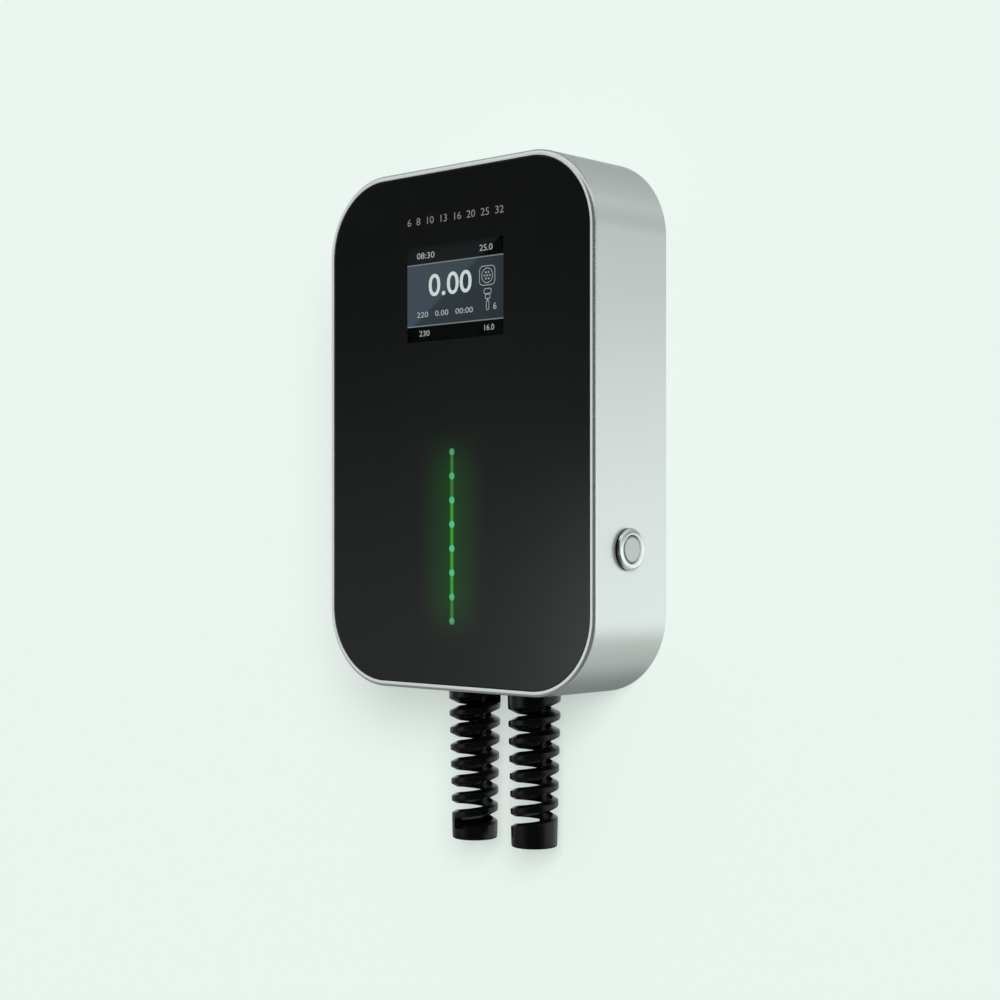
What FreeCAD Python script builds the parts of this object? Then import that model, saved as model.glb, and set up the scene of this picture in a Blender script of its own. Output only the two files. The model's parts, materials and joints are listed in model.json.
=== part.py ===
import FreeCAD, Part
import math
import os

# EV wallbox: a silver tub with a black front glass, a display, a light line, a push button
# on its right side and two spiral cable glands below.
# X runs to the right as the box is seen, Y towards the wall, Z up, all in millimetres.
# The origin is the middle of the wall plane that the back of the box lies on.

V = FreeCAD.Vector
X_AXIS = V(1, 0, 0)
Y_AXIS = V(0, 1, 0)
Z_AXIS = V(0, 0, 1)

# Lengths below this count as none
SAME_PLACE = 1e-4

# Housing
HOUSING_W = 235.0
HOUSING_H = 340.0
HOUSING_DEPTH = 71.0
CORNER_R = 52.0
WALL_T = 4.5
WEB_T = 3.0
RIM_LIP_W = 2.0
RIM_EDGE_R = 1.8
RIM_PROUD = 0.5
LIP_BREAK = 0.4
REAR_LIP_T = 1.5
REAR_EDGE_R = 0.8

# Front glass and its tape
GLASS_T = 4.0
GLASS_GAP = 0.25
GLASS_BREAK = 0.5
TAPE_T = 1.0
TAPE_W = 8.0
TAPE_INSET = 2.0

# Display behind the clear window of the glass
VIEW_SIDE_BAND = 74.75
VIEW_H = 62.0
DISPLAY_FROM_TOP = 82.0
LCD_BORDER = 5.0
LCD_T = 3.5
LCD_GAP = 0.3
FRAME_WALL = 2.5
FRAME_FLANGE_W = 7.0
FRAME_FLANGE_T = 2.0
FRAME_RETAIN_W = 3.0
BOARD_T = 1.6
CHIP_SIZE = 12.0
CHIP_T = 1.4
HEADER_L = 30.0
HEADER_W = 6.0
HEADER_H = 4.0
CAN_SHARE = 0.16

# Light line
LINE_X = -2.2
LINE_TOP_SHARE = 0.0456
LINE_SHARE = 0.3212
DOT_COUNT = 8
DOT_R = 2.5
LENS_H = 0.5
LENS_TAPER = 0.8
GUIDE_W = 7.0
GUIDE_END = 5.0
GUIDE_FLANGE_W = 14.0
GUIDE_FLANGE_T = 1.5
GUIDE_FOOT_L = 9.0
GUIDE_FOOT_H = 1.4
LED_SIZE = 3.0
LED_T = 0.8

# Electrics carrier
CHASSIS_END_ROOM = 42.0
CHASSIS_T = 1.5
CHASSIS_FLANGE_H = 8.0
CHASSIS_CLEAR = 3.0
CHASSIS_FOLD_R = 2.0
POST_H = 12.5
POST_R = 4.5
POST_INSET = 10.0
MAIN_BOARD_SHARE = 0.4
MAIN_BOARD_TOP_ROOM = 28.0
MAIN_BOARD_GAP = 4.0
STANDOFF_H = 8.0
STANDOFF_AF = 5.5
BOARD_HOLE_INSET = 5.0
POWER_W = 52.0
POWER_END_ROOM = 17.0
POWER_H = 18.0
POWER_X = -30.0
CONTACTOR_W = 54.0
CONTACTOR_SHARE = 0.2266
CONTACTOR_H = 32.0
CONTACTOR_GAP = 3.0
CONTACTOR_STEP = 9.0
CONTACTOR_GROOVES = 4
CONTACTOR_GROOVE_W = 3.0
SENSOR_R = 14.0
SENSOR_BORE_R = 7.0
SENSOR_L = 13.0
SENSOR_FOOT_H = 3.0
SENSOR_SIDE_ROOM = 31.5
SENSOR_DROP = 14.0
SENSOR_EDGE_R = 2.0
TERMINAL_PITCH = 12.0
TERMINAL_L = 24.0
TERMINAL_H = 22.0
TERMINAL_STEP = 7.0
TERMINAL_WALL = 1.5
TERMINAL_X = 33.0
TERMINAL_END_ROOM = 30.0
TERMINAL_WIRE_R = 3.2
TERMINAL_WIRE_DEPTH = 12.0
SUPPLY_WAYS = 3
LEAD_WAYS = 4
STUD_R = 2.5
STUD_L = 18.0
STUD_NUT_AF = 8.0
STUD_NUT_H = 4.0

# Back of the box
COVER_T = 2.0
COVER_GAP = 0.3
GASKET_T = 1.0
GASKET_W = 2.6
GASKET_GAP = 0.2
BOSS_R = 4.5
BOSS_MERGE = 1.0
BOSS_HOLE_DEPTH = 14.0
COVER_SCREW_R = 2.0
COVER_SCREW_L = 12.0
COVER_HEAD_R = 3.9
RIB_T = 2.0
RIB_H = 5.0
RIB_ROOM = 4.0

# Wall bracket and the tray in the cover that takes it
BRACKET_W = 120.0
BRACKET_H = 46.0
BRACKET_T = 2.0
BRACKET_FROM_TOP = 78.0
BRACKET_CORNER_R = 6.0
BRACKET_HOLE_X = 90.0
BRACKET_HOLE_Z = 24.0
BRACKET_HOLE_R = 2.75
HOOK_X = 76.0
HOOK_W = 16.0
HOOK_RISE = 7.0
HOOK_GAP = 1.0
TRAY_DEPTH = 5.5
TRAY_MARGIN = 10.0
TRAY_CORNER_R = 10.0
SLOT_SIDE_GAP = 1.5

# Push button on the right side
BUTTON_INSET = 32.2
BUTTON_SHARE = 0.2294
BEZEL_R = 13.2
BEZEL_H = 3.2
BEZEL_EDGE_H = 1.5
BEZEL_FACE_R = 9.9
BARREL_R = 10.9
BARREL_FLOOR_T = 2.0
BARREL_TAIL_R = 8.0
CAP_R = 8.5
CAP_GAP = 0.35
CAP_T = 4.0
CAP_SUNK = 0.3
CAP_EDGE = 0.9
CAP_TRAVEL = 2.0
STEM_R = 3.0
STEM_GAP = 0.35
STEM_ENTRY = 1.0
CLIP_R = 5.2
CLIP_T = 0.8
CLIP_GAP = 0.1
CLIP_ROOM = 1.0
BUTTON_SEAL_T = 0.6
BUTTON_SEAL_R = 12.6
BUTTON_HOLE_GAP = 0.2
BUTTON_NUT_AF = 27.0
BUTTON_NUT_H = 4.0
SPRING_L = 6.6
SPRING_R = 5.6
SPRING_WIRE_R = 0.45
SPRING_TURNS = 3.5
SPRING_GAP = 0.05
SWITCH_R = 10.0
SWITCH_L = 12.0
SWITCH_BORE_SPARE = 3.0
BLADE_L = 8.0
BLADE_W = 6.3
BLADE_T = 0.8
BLADE_X = 4.5

# Spiral cable glands in the floor of the box
GLAND_X = 26.6
GLAND_FROM_WALL = 22.8
GLAND_TOP_R = 17.5
GLAND_END_R = 15.0
GLAND_L = 101.0
GLAND_BORE_TOP_R = 10.6
GLAND_BORE_END_R = 10.3
GLAND_FOOT_L = 14.0
GLAND_END_ROUND = 1.5
GLAND_EDGE_R = 0.8
SLOT_START = 7.5
SLOT_END_ROOM = 13.7
SLOT_TURNS = 7
SLOT_OUTER_W = 7.8
SLOT_INNER_W = 2.4
SLOT_OVERRUN = 1.9
SUPPLY_SLOT_TURN = -2.0
SUPPLY_SLOT_EXTRA = 0.3
LEAD_SLOT_TURN = 115.0
NECK_R = 12.4
NECK_BORE_R = 9.6
NECK_L = 16.0
NECK_GAP = 0.3
WASHER_T = 1.2
WASHER_R = 16.6
LOCKNUT_AF = 32.0
LOCKNUT_H = 5.0
SEAL_BORE_R = 7.0
SEAL_L = 14.0
SEAL_HEAD_R = 12.0
SEAL_HEAD_T = 2.0

# Clearances and small screws
THREAD_GAP = 0.05
HOLE_GAP = 0.3
MACHINE_SCREW_R = 1.5
MACHINE_HEAD_R = 2.8
MACHINE_HEAD_H = 2.0
MACHINE_CROWN = 0.7
WEB_SCREW_GRIP = 2.2
POST_SCREW_L = 8.0
STANDOFF_SCREW_L = 5.0

# Planes across the depth, from the front to the wall
FRONT_Y = -HOUSING_DEPTH
GLASS_FRONT_Y = FRONT_Y + RIM_PROUD
GLASS_BACK_Y = GLASS_FRONT_Y + GLASS_T
WEB_FRONT_Y = GLASS_BACK_Y + TAPE_T
WEB_BACK_Y = WEB_FRONT_Y + WEB_T
LCD_FRONT_Y = GLASS_BACK_Y + LCD_GAP
LCD_BACK_Y = LCD_FRONT_Y + LCD_T
FRAME_BACK_Y = WEB_BACK_Y + FRAME_FLANGE_T
CHASSIS_FRONT_Y = WEB_BACK_Y + POST_H
CHASSIS_BACK_Y = CHASSIS_FRONT_Y + CHASSIS_T
MAIN_BOARD_Y = CHASSIS_BACK_Y + STANDOFF_H
MAIN_BOARD_BACK_Y = MAIN_BOARD_Y + BOARD_T
COVER_FRONT_Y = -COVER_T
LEDGE_Y = COVER_FRONT_Y - GASKET_T
TRAY_BACK_Y = -TRAY_DEPTH
TRAY_FRONT_Y = TRAY_BACK_Y - COVER_T

# Places that follow from the sizes
SIDE_X = HOUSING_W / 2
TOP_Z = HOUSING_H / 2
FLOOR_Z = -TOP_Z
BUTTON_Y = FRONT_Y + BUTTON_INSET
BUTTON_Z = -BUTTON_SHARE * HOUSING_H
BEZEL_BACK_X = SIDE_X + BUTTON_SEAL_T
BEZEL_FACE_X = BEZEL_BACK_X + BEZEL_H
CAP_FACE_X = BEZEL_FACE_X - CAP_SUNK
CAP_BACK_X = CAP_FACE_X - CAP_T
BARREL_FLOOR_X = CAP_BACK_X - SPRING_L
CLIP_X = BARREL_FLOOR_X - BARREL_FLOOR_T - CLIP_GAP - CLIP_T
BARREL_TAIL_X = CLIP_X - CAP_TRAVEL - CLIP_ROOM
STEM_END_X = BARREL_TAIL_X - STEM_ENTRY
SWITCH_END_X = BARREL_TAIL_X - SWITCH_L
CHASSIS_HALF_W = SWITCH_END_X - BLADE_L - CHASSIS_CLEAR
CHASSIS_H = HOUSING_H - 2 * CHASSIS_END_ROOM
VIEW_W = HOUSING_W - 2 * VIEW_SIDE_BAND
DISPLAY_Z = TOP_Z - DISPLAY_FROM_TOP
LCD_W = VIEW_W + 2 * LCD_BORDER
LCD_H = VIEW_H + 2 * LCD_BORDER
FRAME_W = LCD_W + 2 * (LCD_GAP + FRAME_WALL)
FRAME_H = LCD_H + 2 * (LCD_GAP + FRAME_WALL)
RIB_X = FRAME_W / 2 + FRAME_FLANGE_W + RIB_ROOM
LINE_TOP_Z = -LINE_TOP_SHARE * HOUSING_H
LINE_L = LINE_SHARE * HOUSING_H
LINE_PITCH = LINE_L / (DOT_COUNT - 1)
LINE_Z = LINE_TOP_Z - LINE_L / 2
GUIDE_L = LINE_L + 2 * (DOT_R + GUIDE_END)
FOOT_Z = GUIDE_L / 2 + GUIDE_FOOT_L / 2
GUIDE_BACK_Y = WEB_BACK_Y + GUIDE_FLANGE_T
LED_BOARD_Y = GUIDE_BACK_Y + GUIDE_FOOT_H
MAIN_BOARD_W = 2 * (CHASSIS_HALF_W - CHASSIS_T - MAIN_BOARD_GAP)
MAIN_BOARD_H = MAIN_BOARD_SHARE * CHASSIS_H
MAIN_BOARD_Z = CHASSIS_H / 2 - MAIN_BOARD_TOP_ROOM - MAIN_BOARD_H / 2
POWER_L = MAIN_BOARD_H - 2 * POWER_END_ROOM
CAN_PITCH = CAN_SHARE * MAIN_BOARD_H
CONTACTOR_L = CONTACTOR_SHARE * CHASSIS_H
CONTACTOR_X = -CHASSIS_HALF_W / 4
CONTACTOR_Z = MAIN_BOARD_Z - MAIN_BOARD_H / 2 - CONTACTOR_GAP - CONTACTOR_L / 2
SENSOR_X = CHASSIS_HALF_W - SENSOR_SIDE_ROOM
SENSOR_Z = CONTACTOR_Z - SENSOR_DROP
TERMINAL_Z = TERMINAL_END_ROOM - CHASSIS_H / 2
GLAND_Y = -GLAND_FROM_WALL
SLOT_PITCH = (GLAND_L - SLOT_START - SLOT_END_ROOM) / SLOT_TURNS
GLAND_TOP_Z = FLOOR_Z - WASHER_T
BRACKET_Z = TOP_Z - BRACKET_FROM_TOP
TRAY_W = BRACKET_W + 2 * TRAY_MARGIN
TRAY_H = BRACKET_H + HOOK_RISE + 2 * TRAY_MARGIN
TRAY_Z = BRACKET_Z + HOOK_RISE / 2


# Shapes that several pieces share

def outline(width, height, corner, y, x=0.0, z=0.0):
    """Closed outline of a rectangle with round corners, in a plane across Y."""
    corner_x = width / 2 - corner
    corner_z = height / 2 - corner
    slant = corner * math.sqrt(0.5)
    signs = ((1, 1), (-1, 1), (-1, -1), (1, -1))
    arcs = []
    for index, (sx, sz) in enumerate(signs):
        centre = V(x + sx * corner_x, y, z + sz * corner_z)
        along_x = V(sx * corner, 0, 0)
        along_z = V(0, 0, sz * corner)
        start, end = (along_x, along_z) if index % 2 == 0 else (along_z, along_x)
        middle = V(sx * slant, 0, sz * slant)
        arcs.append(Part.Arc(centre + start, centre + middle, centre + end))
    edges = []
    for index, arc in enumerate(arcs):
        following = arcs[(index + 1) % len(arcs)]
        edges.append(arc.toShape())
        if arc.EndPoint.distanceToPoint(following.StartPoint) > SAME_PLACE:
            edges.append(Part.makeLine(arc.EndPoint, following.StartPoint))
    return Part.Wire(edges)


def slab(width, height, corner, y_front, y_back, x=0.0, z=0.0):
    """Plate with round corners between two planes across Y."""
    face = Part.Face(outline(width, height, corner, y_front, x, z))
    return face.extrude(V(0, y_back - y_front, 0))


def frame(width, height, corner, band, y_front, y_back, z=0.0):
    """Closed band of even width that follows a rounded outline."""
    outer = slab(width, height, corner, y_front, y_back, 0.0, z)
    inner_corner = max(corner - band, corner / 4)
    inner = slab(width - 2 * band, height - 2 * band, inner_corner, y_front, y_back, 0.0, z)
    return outer.cut(inner)


def block(x, z, width, height, y_front, y_back):
    """Square-edged block that is centred in X and Z."""
    corner = V(x - width / 2, y_front, z - height / 2)
    return Part.makeBox(width, y_back - y_front, height, corner)


def placed(shape, base, axis):
    """Puts a shape that stands on Z at a base point, along another axis."""
    shape.Placement = FreeCAD.Placement(base, FreeCAD.Rotation(Z_AXIS, axis))
    return shape


def turned(profile, base, axis):
    """Turned piece: a closed profile of (radius, height) points, revolved."""
    points = [V(radius, 0, height) for radius, height in profile]
    face = Part.Face(Part.makePolygon(points + points[:1]))
    return placed(face.revolve(V(0, 0, 0), Z_AXIS, 360), base, axis)


def tube(outer_r, inner_r, length, base, axis):
    """Plain ring or sleeve."""
    outer = Part.makeCylinder(outer_r, length, base, axis)
    return outer.cut(Part.makeCylinder(inner_r, length, base, axis))


def hexagon(across_flats, height, base, axis):
    """Six-sided prism."""
    radius = across_flats / math.sqrt(3)
    points = []
    for corner in range(7):
        angle = math.radians(60 * corner)
        points.append(V(radius * math.cos(angle), radius * math.sin(angle), 0))
    prism = Part.Face(Part.makePolygon(points)).extrude(V(0, 0, height))
    return placed(prism, base, axis)


def hex_nut(across_flats, height, bore_r, base, axis):
    """Nut with its outer corners turned down at both ends."""
    corner_r = across_flats / math.sqrt(3)
    turn_h = (corner_r - across_flats / 2) * math.tan(math.radians(30))
    blank = turned(
        [
            (bore_r, 0),
            (across_flats / 2, 0),
            (corner_r, turn_h),
            (corner_r, height - turn_h),
            (across_flats / 2, height),
            (bore_r, height),
        ],
        base,
        axis,
    )
    return blank.common(hexagon(across_flats, height, base, axis))


def pan_screw(length, base, axis):
    """Machine screw: the head stands on the base point, the shank runs against the axis."""
    shank_r = MACHINE_SCREW_R - THREAD_GAP
    crown_r = MACHINE_HEAD_R * MACHINE_CROWN
    return turned(
        [
            (0, -length),
            (shank_r, -length),
            (shank_r, 0),
            (MACHINE_HEAD_R, 0),
            (MACHINE_HEAD_R, MACHINE_HEAD_H / 2),
            (crown_r, MACHINE_HEAD_H),
            (0, MACHINE_HEAD_H),
        ],
        base,
        axis,
    )


def fused(shapes):
    """One solid from pieces that overlap or touch over a face."""
    return shapes[0].multiFuse(shapes[1:]).removeSplitter()


def edges_at(shape, axis_index, value):
    """Edges that lie wholly in the plane where one coordinate has a value."""
    found = []
    for edge in shape.Edges:
        box = edge.BoundBox
        low = (box.XMin, box.YMin, box.ZMin)[axis_index]
        high = (box.XMax, box.YMax, box.ZMax)[axis_index]
        if max(abs(low - value), abs(high - value)) < SAME_PLACE:
            found.append(edge)
    return found


# Places of screws, posts and lenses

def cover_screw_places():
    """Three screws up each side, one in the middle of the top and of the bottom."""
    side_x = SIDE_X - WALL_T - BOSS_R + BOSS_MERGE
    end_z = TOP_Z - WALL_T - BOSS_R + BOSS_MERGE
    row_z = TOP_Z - CORNER_R
    places = [(sx * side_x, sz * row_z) for sx in (-1, 1) for sz in (-1, 0, 1)]
    return places + [(0, end_z), (0, -end_z)]


def post_places():
    """Corners of the chassis plate."""
    post_x = CHASSIS_HALF_W - POST_INSET
    post_z = CHASSIS_H / 2 - POST_INSET
    return [(sx * post_x, sz * post_z) for sx in (-1, 1) for sz in (-1, 1)]


def display_screw_places():
    """Corners of the display frame's flange."""
    screw_x = FRAME_W / 2 + FRAME_FLANGE_W / 2
    screw_z = FRAME_H / 2 - FRAME_FLANGE_W
    return [(sx * screw_x, DISPLAY_Z + sz * screw_z) for sx in (-1, 1) for sz in (-1, 1)]


def guide_screw_places():
    """One in each foot of the light guide."""
    return [(LINE_X, LINE_Z + FOOT_Z), (LINE_X, LINE_Z - FOOT_Z)]


def dot_places():
    """Heights of the round lenses, from the top down."""
    return [LINE_TOP_Z - index * LINE_PITCH for index in range(DOT_COUNT)]


def standoff_places():
    """Corners of the main board."""
    stand_x = MAIN_BOARD_W / 2 - BOARD_HOLE_INSET
    stand_z = MAIN_BOARD_H / 2 - BOARD_HOLE_INSET
    return [(sx * stand_x, MAIN_BOARD_Z + sz * stand_z) for sx in (-1, 1) for sz in (-1, 1)]


def holes_along_y(places, radius, y_front, y_back):
    """Round cutters between two planes across Y."""
    depth = y_back - y_front
    return [Part.makeCylinder(radius, depth, V(x, y_front, z), Y_AXIS) for x, z in places]


# Housing and glass

def housing():
    """Cast tub: sides with a rounded rim, a web behind the glass, screw bosses, open back."""
    rim_w = RIM_EDGE_R + RIM_LIP_W
    shell = slab(HOUSING_W, HOUSING_H, CORNER_R, FRONT_Y, 0)
    shell = shell.makeFillet(RIM_EDGE_R, edges_at(shell, 1, FRONT_Y))
    shell = shell.makeFillet(REAR_EDGE_R, edges_at(shell, 1, 0))
    pocket = slab(
        HOUSING_W - 2 * rim_w, HOUSING_H - 2 * rim_w, CORNER_R - rim_w, FRONT_Y, WEB_FRONT_Y
    )
    cavity = slab(
        HOUSING_W - 2 * WALL_T, HOUSING_H - 2 * WALL_T, CORNER_R - WALL_T, WEB_BACK_Y, 0
    )
    rebate = slab(
        HOUSING_W - 2 * REAR_LIP_T, HOUSING_H - 2 * REAR_LIP_T, CORNER_R - REAR_LIP_T, LEDGE_Y, 0
    )
    shell = shell.cut(pocket)
    inner_lip = []
    for edge in edges_at(shell, 1, FRONT_Y):
        middle = edge.valueAt((edge.FirstParameter + edge.LastParameter) / 2)
        if pocket.distToShape(Part.Vertex(middle))[0] < LIP_BREAK / 4:
            inner_lip.append(edge)
    shell = shell.makeChamfer(LIP_BREAK, inner_lip)
    shell = shell.cut(fused([cavity, rebate]))

    stubs = holes_along_y(cover_screw_places(), BOSS_R, WEB_BACK_Y, COVER_FRONT_Y)
    stubs += holes_along_y(post_places(), POST_R, WEB_BACK_Y, CHASSIS_FRONT_Y)
    ribs = [
        block(sx * RIB_X, 0, RIB_T, HOUSING_H - 2 * WALL_T, WEB_BACK_Y, WEB_BACK_Y + RIB_H)
        for sx in (-1, 1)
    ]
    shell = fused([shell] + stubs + ribs)

    cutters = holes_along_y(
        cover_screw_places(), COVER_SCREW_R, COVER_FRONT_Y - BOSS_HOLE_DEPTH, COVER_FRONT_Y
    )
    cutters += holes_along_y(
        post_places(), MACHINE_SCREW_R, CHASSIS_FRONT_Y - POST_SCREW_L, CHASSIS_FRONT_Y
    )
    cutters += holes_along_y(
        display_screw_places() + guide_screw_places(),
        MACHINE_SCREW_R,
        WEB_BACK_Y - WEB_SCREW_GRIP,
        WEB_BACK_Y,
    )
    cutters.append(
        slab(
            FRAME_W + 2 * HOLE_GAP,
            FRAME_H + 2 * HOLE_GAP,
            FRAME_WALL,
            WEB_FRONT_Y,
            WEB_BACK_Y,
            0,
            DISPLAY_Z,
        )
    )
    cutters.append(
        slab(
            GUIDE_W + 2 * HOLE_GAP,
            GUIDE_L + 2 * HOLE_GAP,
            GUIDE_W / 2,
            WEB_FRONT_Y,
            WEB_BACK_Y,
            LINE_X,
            LINE_Z,
        )
    )
    cutters.append(
        Part.makeCylinder(
            BARREL_R + BUTTON_HOLE_GAP,
            2 * WALL_T,
            V(SIDE_X - WALL_T - WALL_T / 2, BUTTON_Y, BUTTON_Z),
            X_AXIS,
        )
    )
    for side in (-1, 1):
        base = V(side * GLAND_X, GLAND_Y, FLOOR_Z - WALL_T / 2)
        cutters.append(Part.makeCylinder(NECK_R + NECK_GAP, 2 * WALL_T, base, Z_AXIS))
    return shell.cut(cutters)


def front_glass():
    """Toughened glass that fills the rim, with its front edge broken."""
    inset = RIM_EDGE_R + RIM_LIP_W + GLASS_GAP
    glass = slab(
        HOUSING_W - 2 * inset,
        HOUSING_H - 2 * inset,
        CORNER_R - inset,
        GLASS_FRONT_Y,
        GLASS_BACK_Y,
    )
    return glass.makeChamfer(GLASS_BREAK, edges_at(glass, 1, GLASS_FRONT_Y))


def glass_tape():
    """Foam tape round the edge, between the glass and the web."""
    inset = RIM_EDGE_R + RIM_LIP_W + GLASS_GAP + TAPE_INSET
    return frame(
        HOUSING_W - 2 * inset,
        HOUSING_H - 2 * inset,
        CORNER_R - inset,
        TAPE_W,
        GLASS_BACK_Y,
        WEB_FRONT_Y,
    )


# Display

def display_frame():
    """Moulded holder: a wall round the display, a flange on the web, a retaining lip."""
    wall_front_y = LCD_FRONT_Y + LCD_GAP
    wall = slab(FRAME_W, FRAME_H, FRAME_WALL, wall_front_y, WEB_BACK_Y, 0, DISPLAY_Z)
    flange = slab(
        FRAME_W + 2 * FRAME_FLANGE_W,
        FRAME_H + FRAME_FLANGE_W,
        FRAME_WALL,
        WEB_BACK_Y,
        FRAME_BACK_Y,
        0,
        DISPLAY_Z,
    )
    seat = block(
        0, DISPLAY_Z, LCD_W + 2 * LCD_GAP, LCD_H + 2 * LCD_GAP, wall_front_y, LCD_BACK_Y
    )
    window = block(
        0,
        DISPLAY_Z,
        LCD_W - 2 * FRAME_RETAIN_W,
        LCD_H - 2 * FRAME_RETAIN_W,
        LCD_BACK_Y,
        FRAME_BACK_Y,
    )
    holes = holes_along_y(
        display_screw_places(), MACHINE_SCREW_R + HOLE_GAP, WEB_BACK_Y, FRAME_BACK_Y
    )
    return fused([wall, flange]).cut([seat, window] + holes)


def lcd_panel():
    """Flat display module."""
    return slab(LCD_W, LCD_H, LCD_GAP, LCD_FRONT_Y, LCD_BACK_Y, 0, DISPLAY_Z)


def display_board():
    """Driver board on the back of the frame, with its chip and its ribbon header."""
    board_back_y = FRAME_BACK_Y + BOARD_T
    board = slab(
        FRAME_W + 2 * FRAME_FLANGE_W,
        FRAME_H + FRAME_FLANGE_W,
        FRAME_WALL,
        FRAME_BACK_Y,
        board_back_y,
        0,
        DISPLAY_Z,
    )
    chip = block(0, DISPLAY_Z, CHIP_SIZE, CHIP_SIZE, board_back_y, board_back_y + CHIP_T)
    header = block(
        0,
        DISPLAY_Z - FRAME_H / 2 + HEADER_W,
        HEADER_L,
        HEADER_W,
        board_back_y,
        board_back_y + HEADER_H,
    )
    holes = holes_along_y(
        display_screw_places(), MACHINE_SCREW_R + HOLE_GAP, FRAME_BACK_Y, board_back_y
    )
    return fused([board, chip, header]).cut(holes)


def display_screws():
    """Hold the board and the frame on the web."""
    head_y = FRAME_BACK_Y + BOARD_T
    length = head_y - WEB_BACK_Y + WEB_SCREW_GRIP
    return [pan_screw(length, V(x, head_y, z), Y_AXIS) for x, z in display_screw_places()]


# Light line

def light_guide():
    """Clear bar with a round lens for each dot, a flange on the web and two feet."""
    front_y = GLASS_BACK_Y + LCD_GAP + LENS_H
    bar = slab(GUIDE_W, GUIDE_L, GUIDE_W / 2, front_y, WEB_BACK_Y, LINE_X, LINE_Z)
    flange_l = GUIDE_L + 2 * GUIDE_FOOT_L
    flange = slab(
        GUIDE_FLANGE_W, flange_l, GUIDE_FLANGE_W / 4, WEB_BACK_Y, GUIDE_BACK_Y, LINE_X, LINE_Z
    )
    feet = [
        block(LINE_X, LINE_Z + sz * FOOT_Z, GUIDE_W, GUIDE_FOOT_L, GUIDE_BACK_Y, LED_BOARD_Y)
        for sz in (-1, 1)
    ]
    lenses = [
        turned(
            [(0, 0), (DOT_R, 0), (DOT_R * LENS_TAPER, LENS_H), (0, LENS_H)],
            V(LINE_X, front_y, z),
            V(0, -1, 0),
        )
        for z in dot_places()
    ]
    holes = holes_along_y(
        guide_screw_places(), MACHINE_SCREW_R + HOLE_GAP, WEB_BACK_Y, LED_BOARD_Y
    )
    return fused([bar, flange] + feet + lenses).cut(holes)


def led_board():
    """Narrow board on the feet of the light guide."""
    board = slab(
        GUIDE_FLANGE_W - 2 * HOLE_GAP,
        GUIDE_L + 2 * GUIDE_FOOT_L,
        GUIDE_FLANGE_W / 4,
        LED_BOARD_Y,
        LED_BOARD_Y + BOARD_T,
        LINE_X,
        LINE_Z,
    )
    holes = holes_along_y(
        guide_screw_places(), MACHINE_SCREW_R + HOLE_GAP, LED_BOARD_Y, LED_BOARD_Y + BOARD_T
    )
    return board.cut(holes)


def led_chips():
    """One light behind each lens."""
    return [
        block(LINE_X, z, LED_SIZE, LED_SIZE, LED_BOARD_Y - LED_T, LED_BOARD_Y)
        for z in dot_places()
    ]


def led_screws():
    """Hold the strip and the guide on the web."""
    head_y = LED_BOARD_Y + BOARD_T
    length = head_y - WEB_BACK_Y + WEB_SCREW_GRIP
    return [pan_screw(length, V(x, head_y, z), Y_AXIS) for x, z in guide_screw_places()]


# Electrics on their carrier

def chassis_plate():
    """Steel sheet on the posts, with both long sides folded towards the wall."""
    width = 2 * CHASSIS_HALF_W
    sheet = block(0, 0, width, CHASSIS_H, CHASSIS_FRONT_Y, CHASSIS_BACK_Y + CHASSIS_FLANGE_H)
    sheet = sheet.makeFillet(
        CHASSIS_FOLD_R,
        [e for e in edges_at(sheet, 1, CHASSIS_FRONT_Y) if e.BoundBox.XLength < CHASSIS_T],
    )
    hollow = block(
        0,
        0,
        width - 2 * CHASSIS_T,
        CHASSIS_H,
        CHASSIS_BACK_Y,
        CHASSIS_BACK_Y + CHASSIS_FLANGE_H,
    )
    holes = holes_along_y(
        post_places(), MACHINE_SCREW_R + HOLE_GAP, CHASSIS_FRONT_Y, CHASSIS_BACK_Y
    )
    holes += holes_along_y(
        standoff_places(), MACHINE_SCREW_R + HOLE_GAP, CHASSIS_FRONT_Y, CHASSIS_BACK_Y
    )
    holes += holes_along_y([(0, TERMINAL_Z)], STUD_R, CHASSIS_FRONT_Y, CHASSIS_BACK_Y)
    return sheet.cut([hollow] + holes)


def chassis_screws():
    """Hold the plate on its posts."""
    length = CHASSIS_T + POST_SCREW_L - HOLE_GAP
    return [pan_screw(length, V(x, CHASSIS_BACK_Y, z), Y_AXIS) for x, z in post_places()]


def main_board():
    """Control board with its relay, capacitors, headers and processor."""
    board = slab(
        MAIN_BOARD_W,
        MAIN_BOARD_H,
        BOARD_HOLE_INSET / 2,
        MAIN_BOARD_Y,
        MAIN_BOARD_BACK_Y,
        0,
        MAIN_BOARD_Z,
    )
    back = MAIN_BOARD_BACK_Y
    chip_x = MAIN_BOARD_W / 4
    chip = block(chip_x, MAIN_BOARD_Z, CHIP_SIZE, CHIP_SIZE, back, back + CHIP_T)
    header_z = MAIN_BOARD_Z - MAIN_BOARD_H / 2 + HEADER_W
    headers = [
        block(sx * HEADER_L, header_z, HEADER_L, HEADER_W, back, back + HEADER_H)
        for sx in (-1, 1)
    ]
    cans = [
        Part.makeCylinder(
            HEADER_W,
            POWER_H - HEADER_H,
            V(chip_x, back, MAIN_BOARD_Z + (index + 1) * CAN_PITCH),
            Y_AXIS,
        )
        for index in range(2)
    ]
    holes = holes_along_y(
        standoff_places(), MACHINE_SCREW_R + HOLE_GAP, MAIN_BOARD_Y, MAIN_BOARD_BACK_Y
    )
    return fused([board, chip] + headers + cans).cut(holes)


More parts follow.
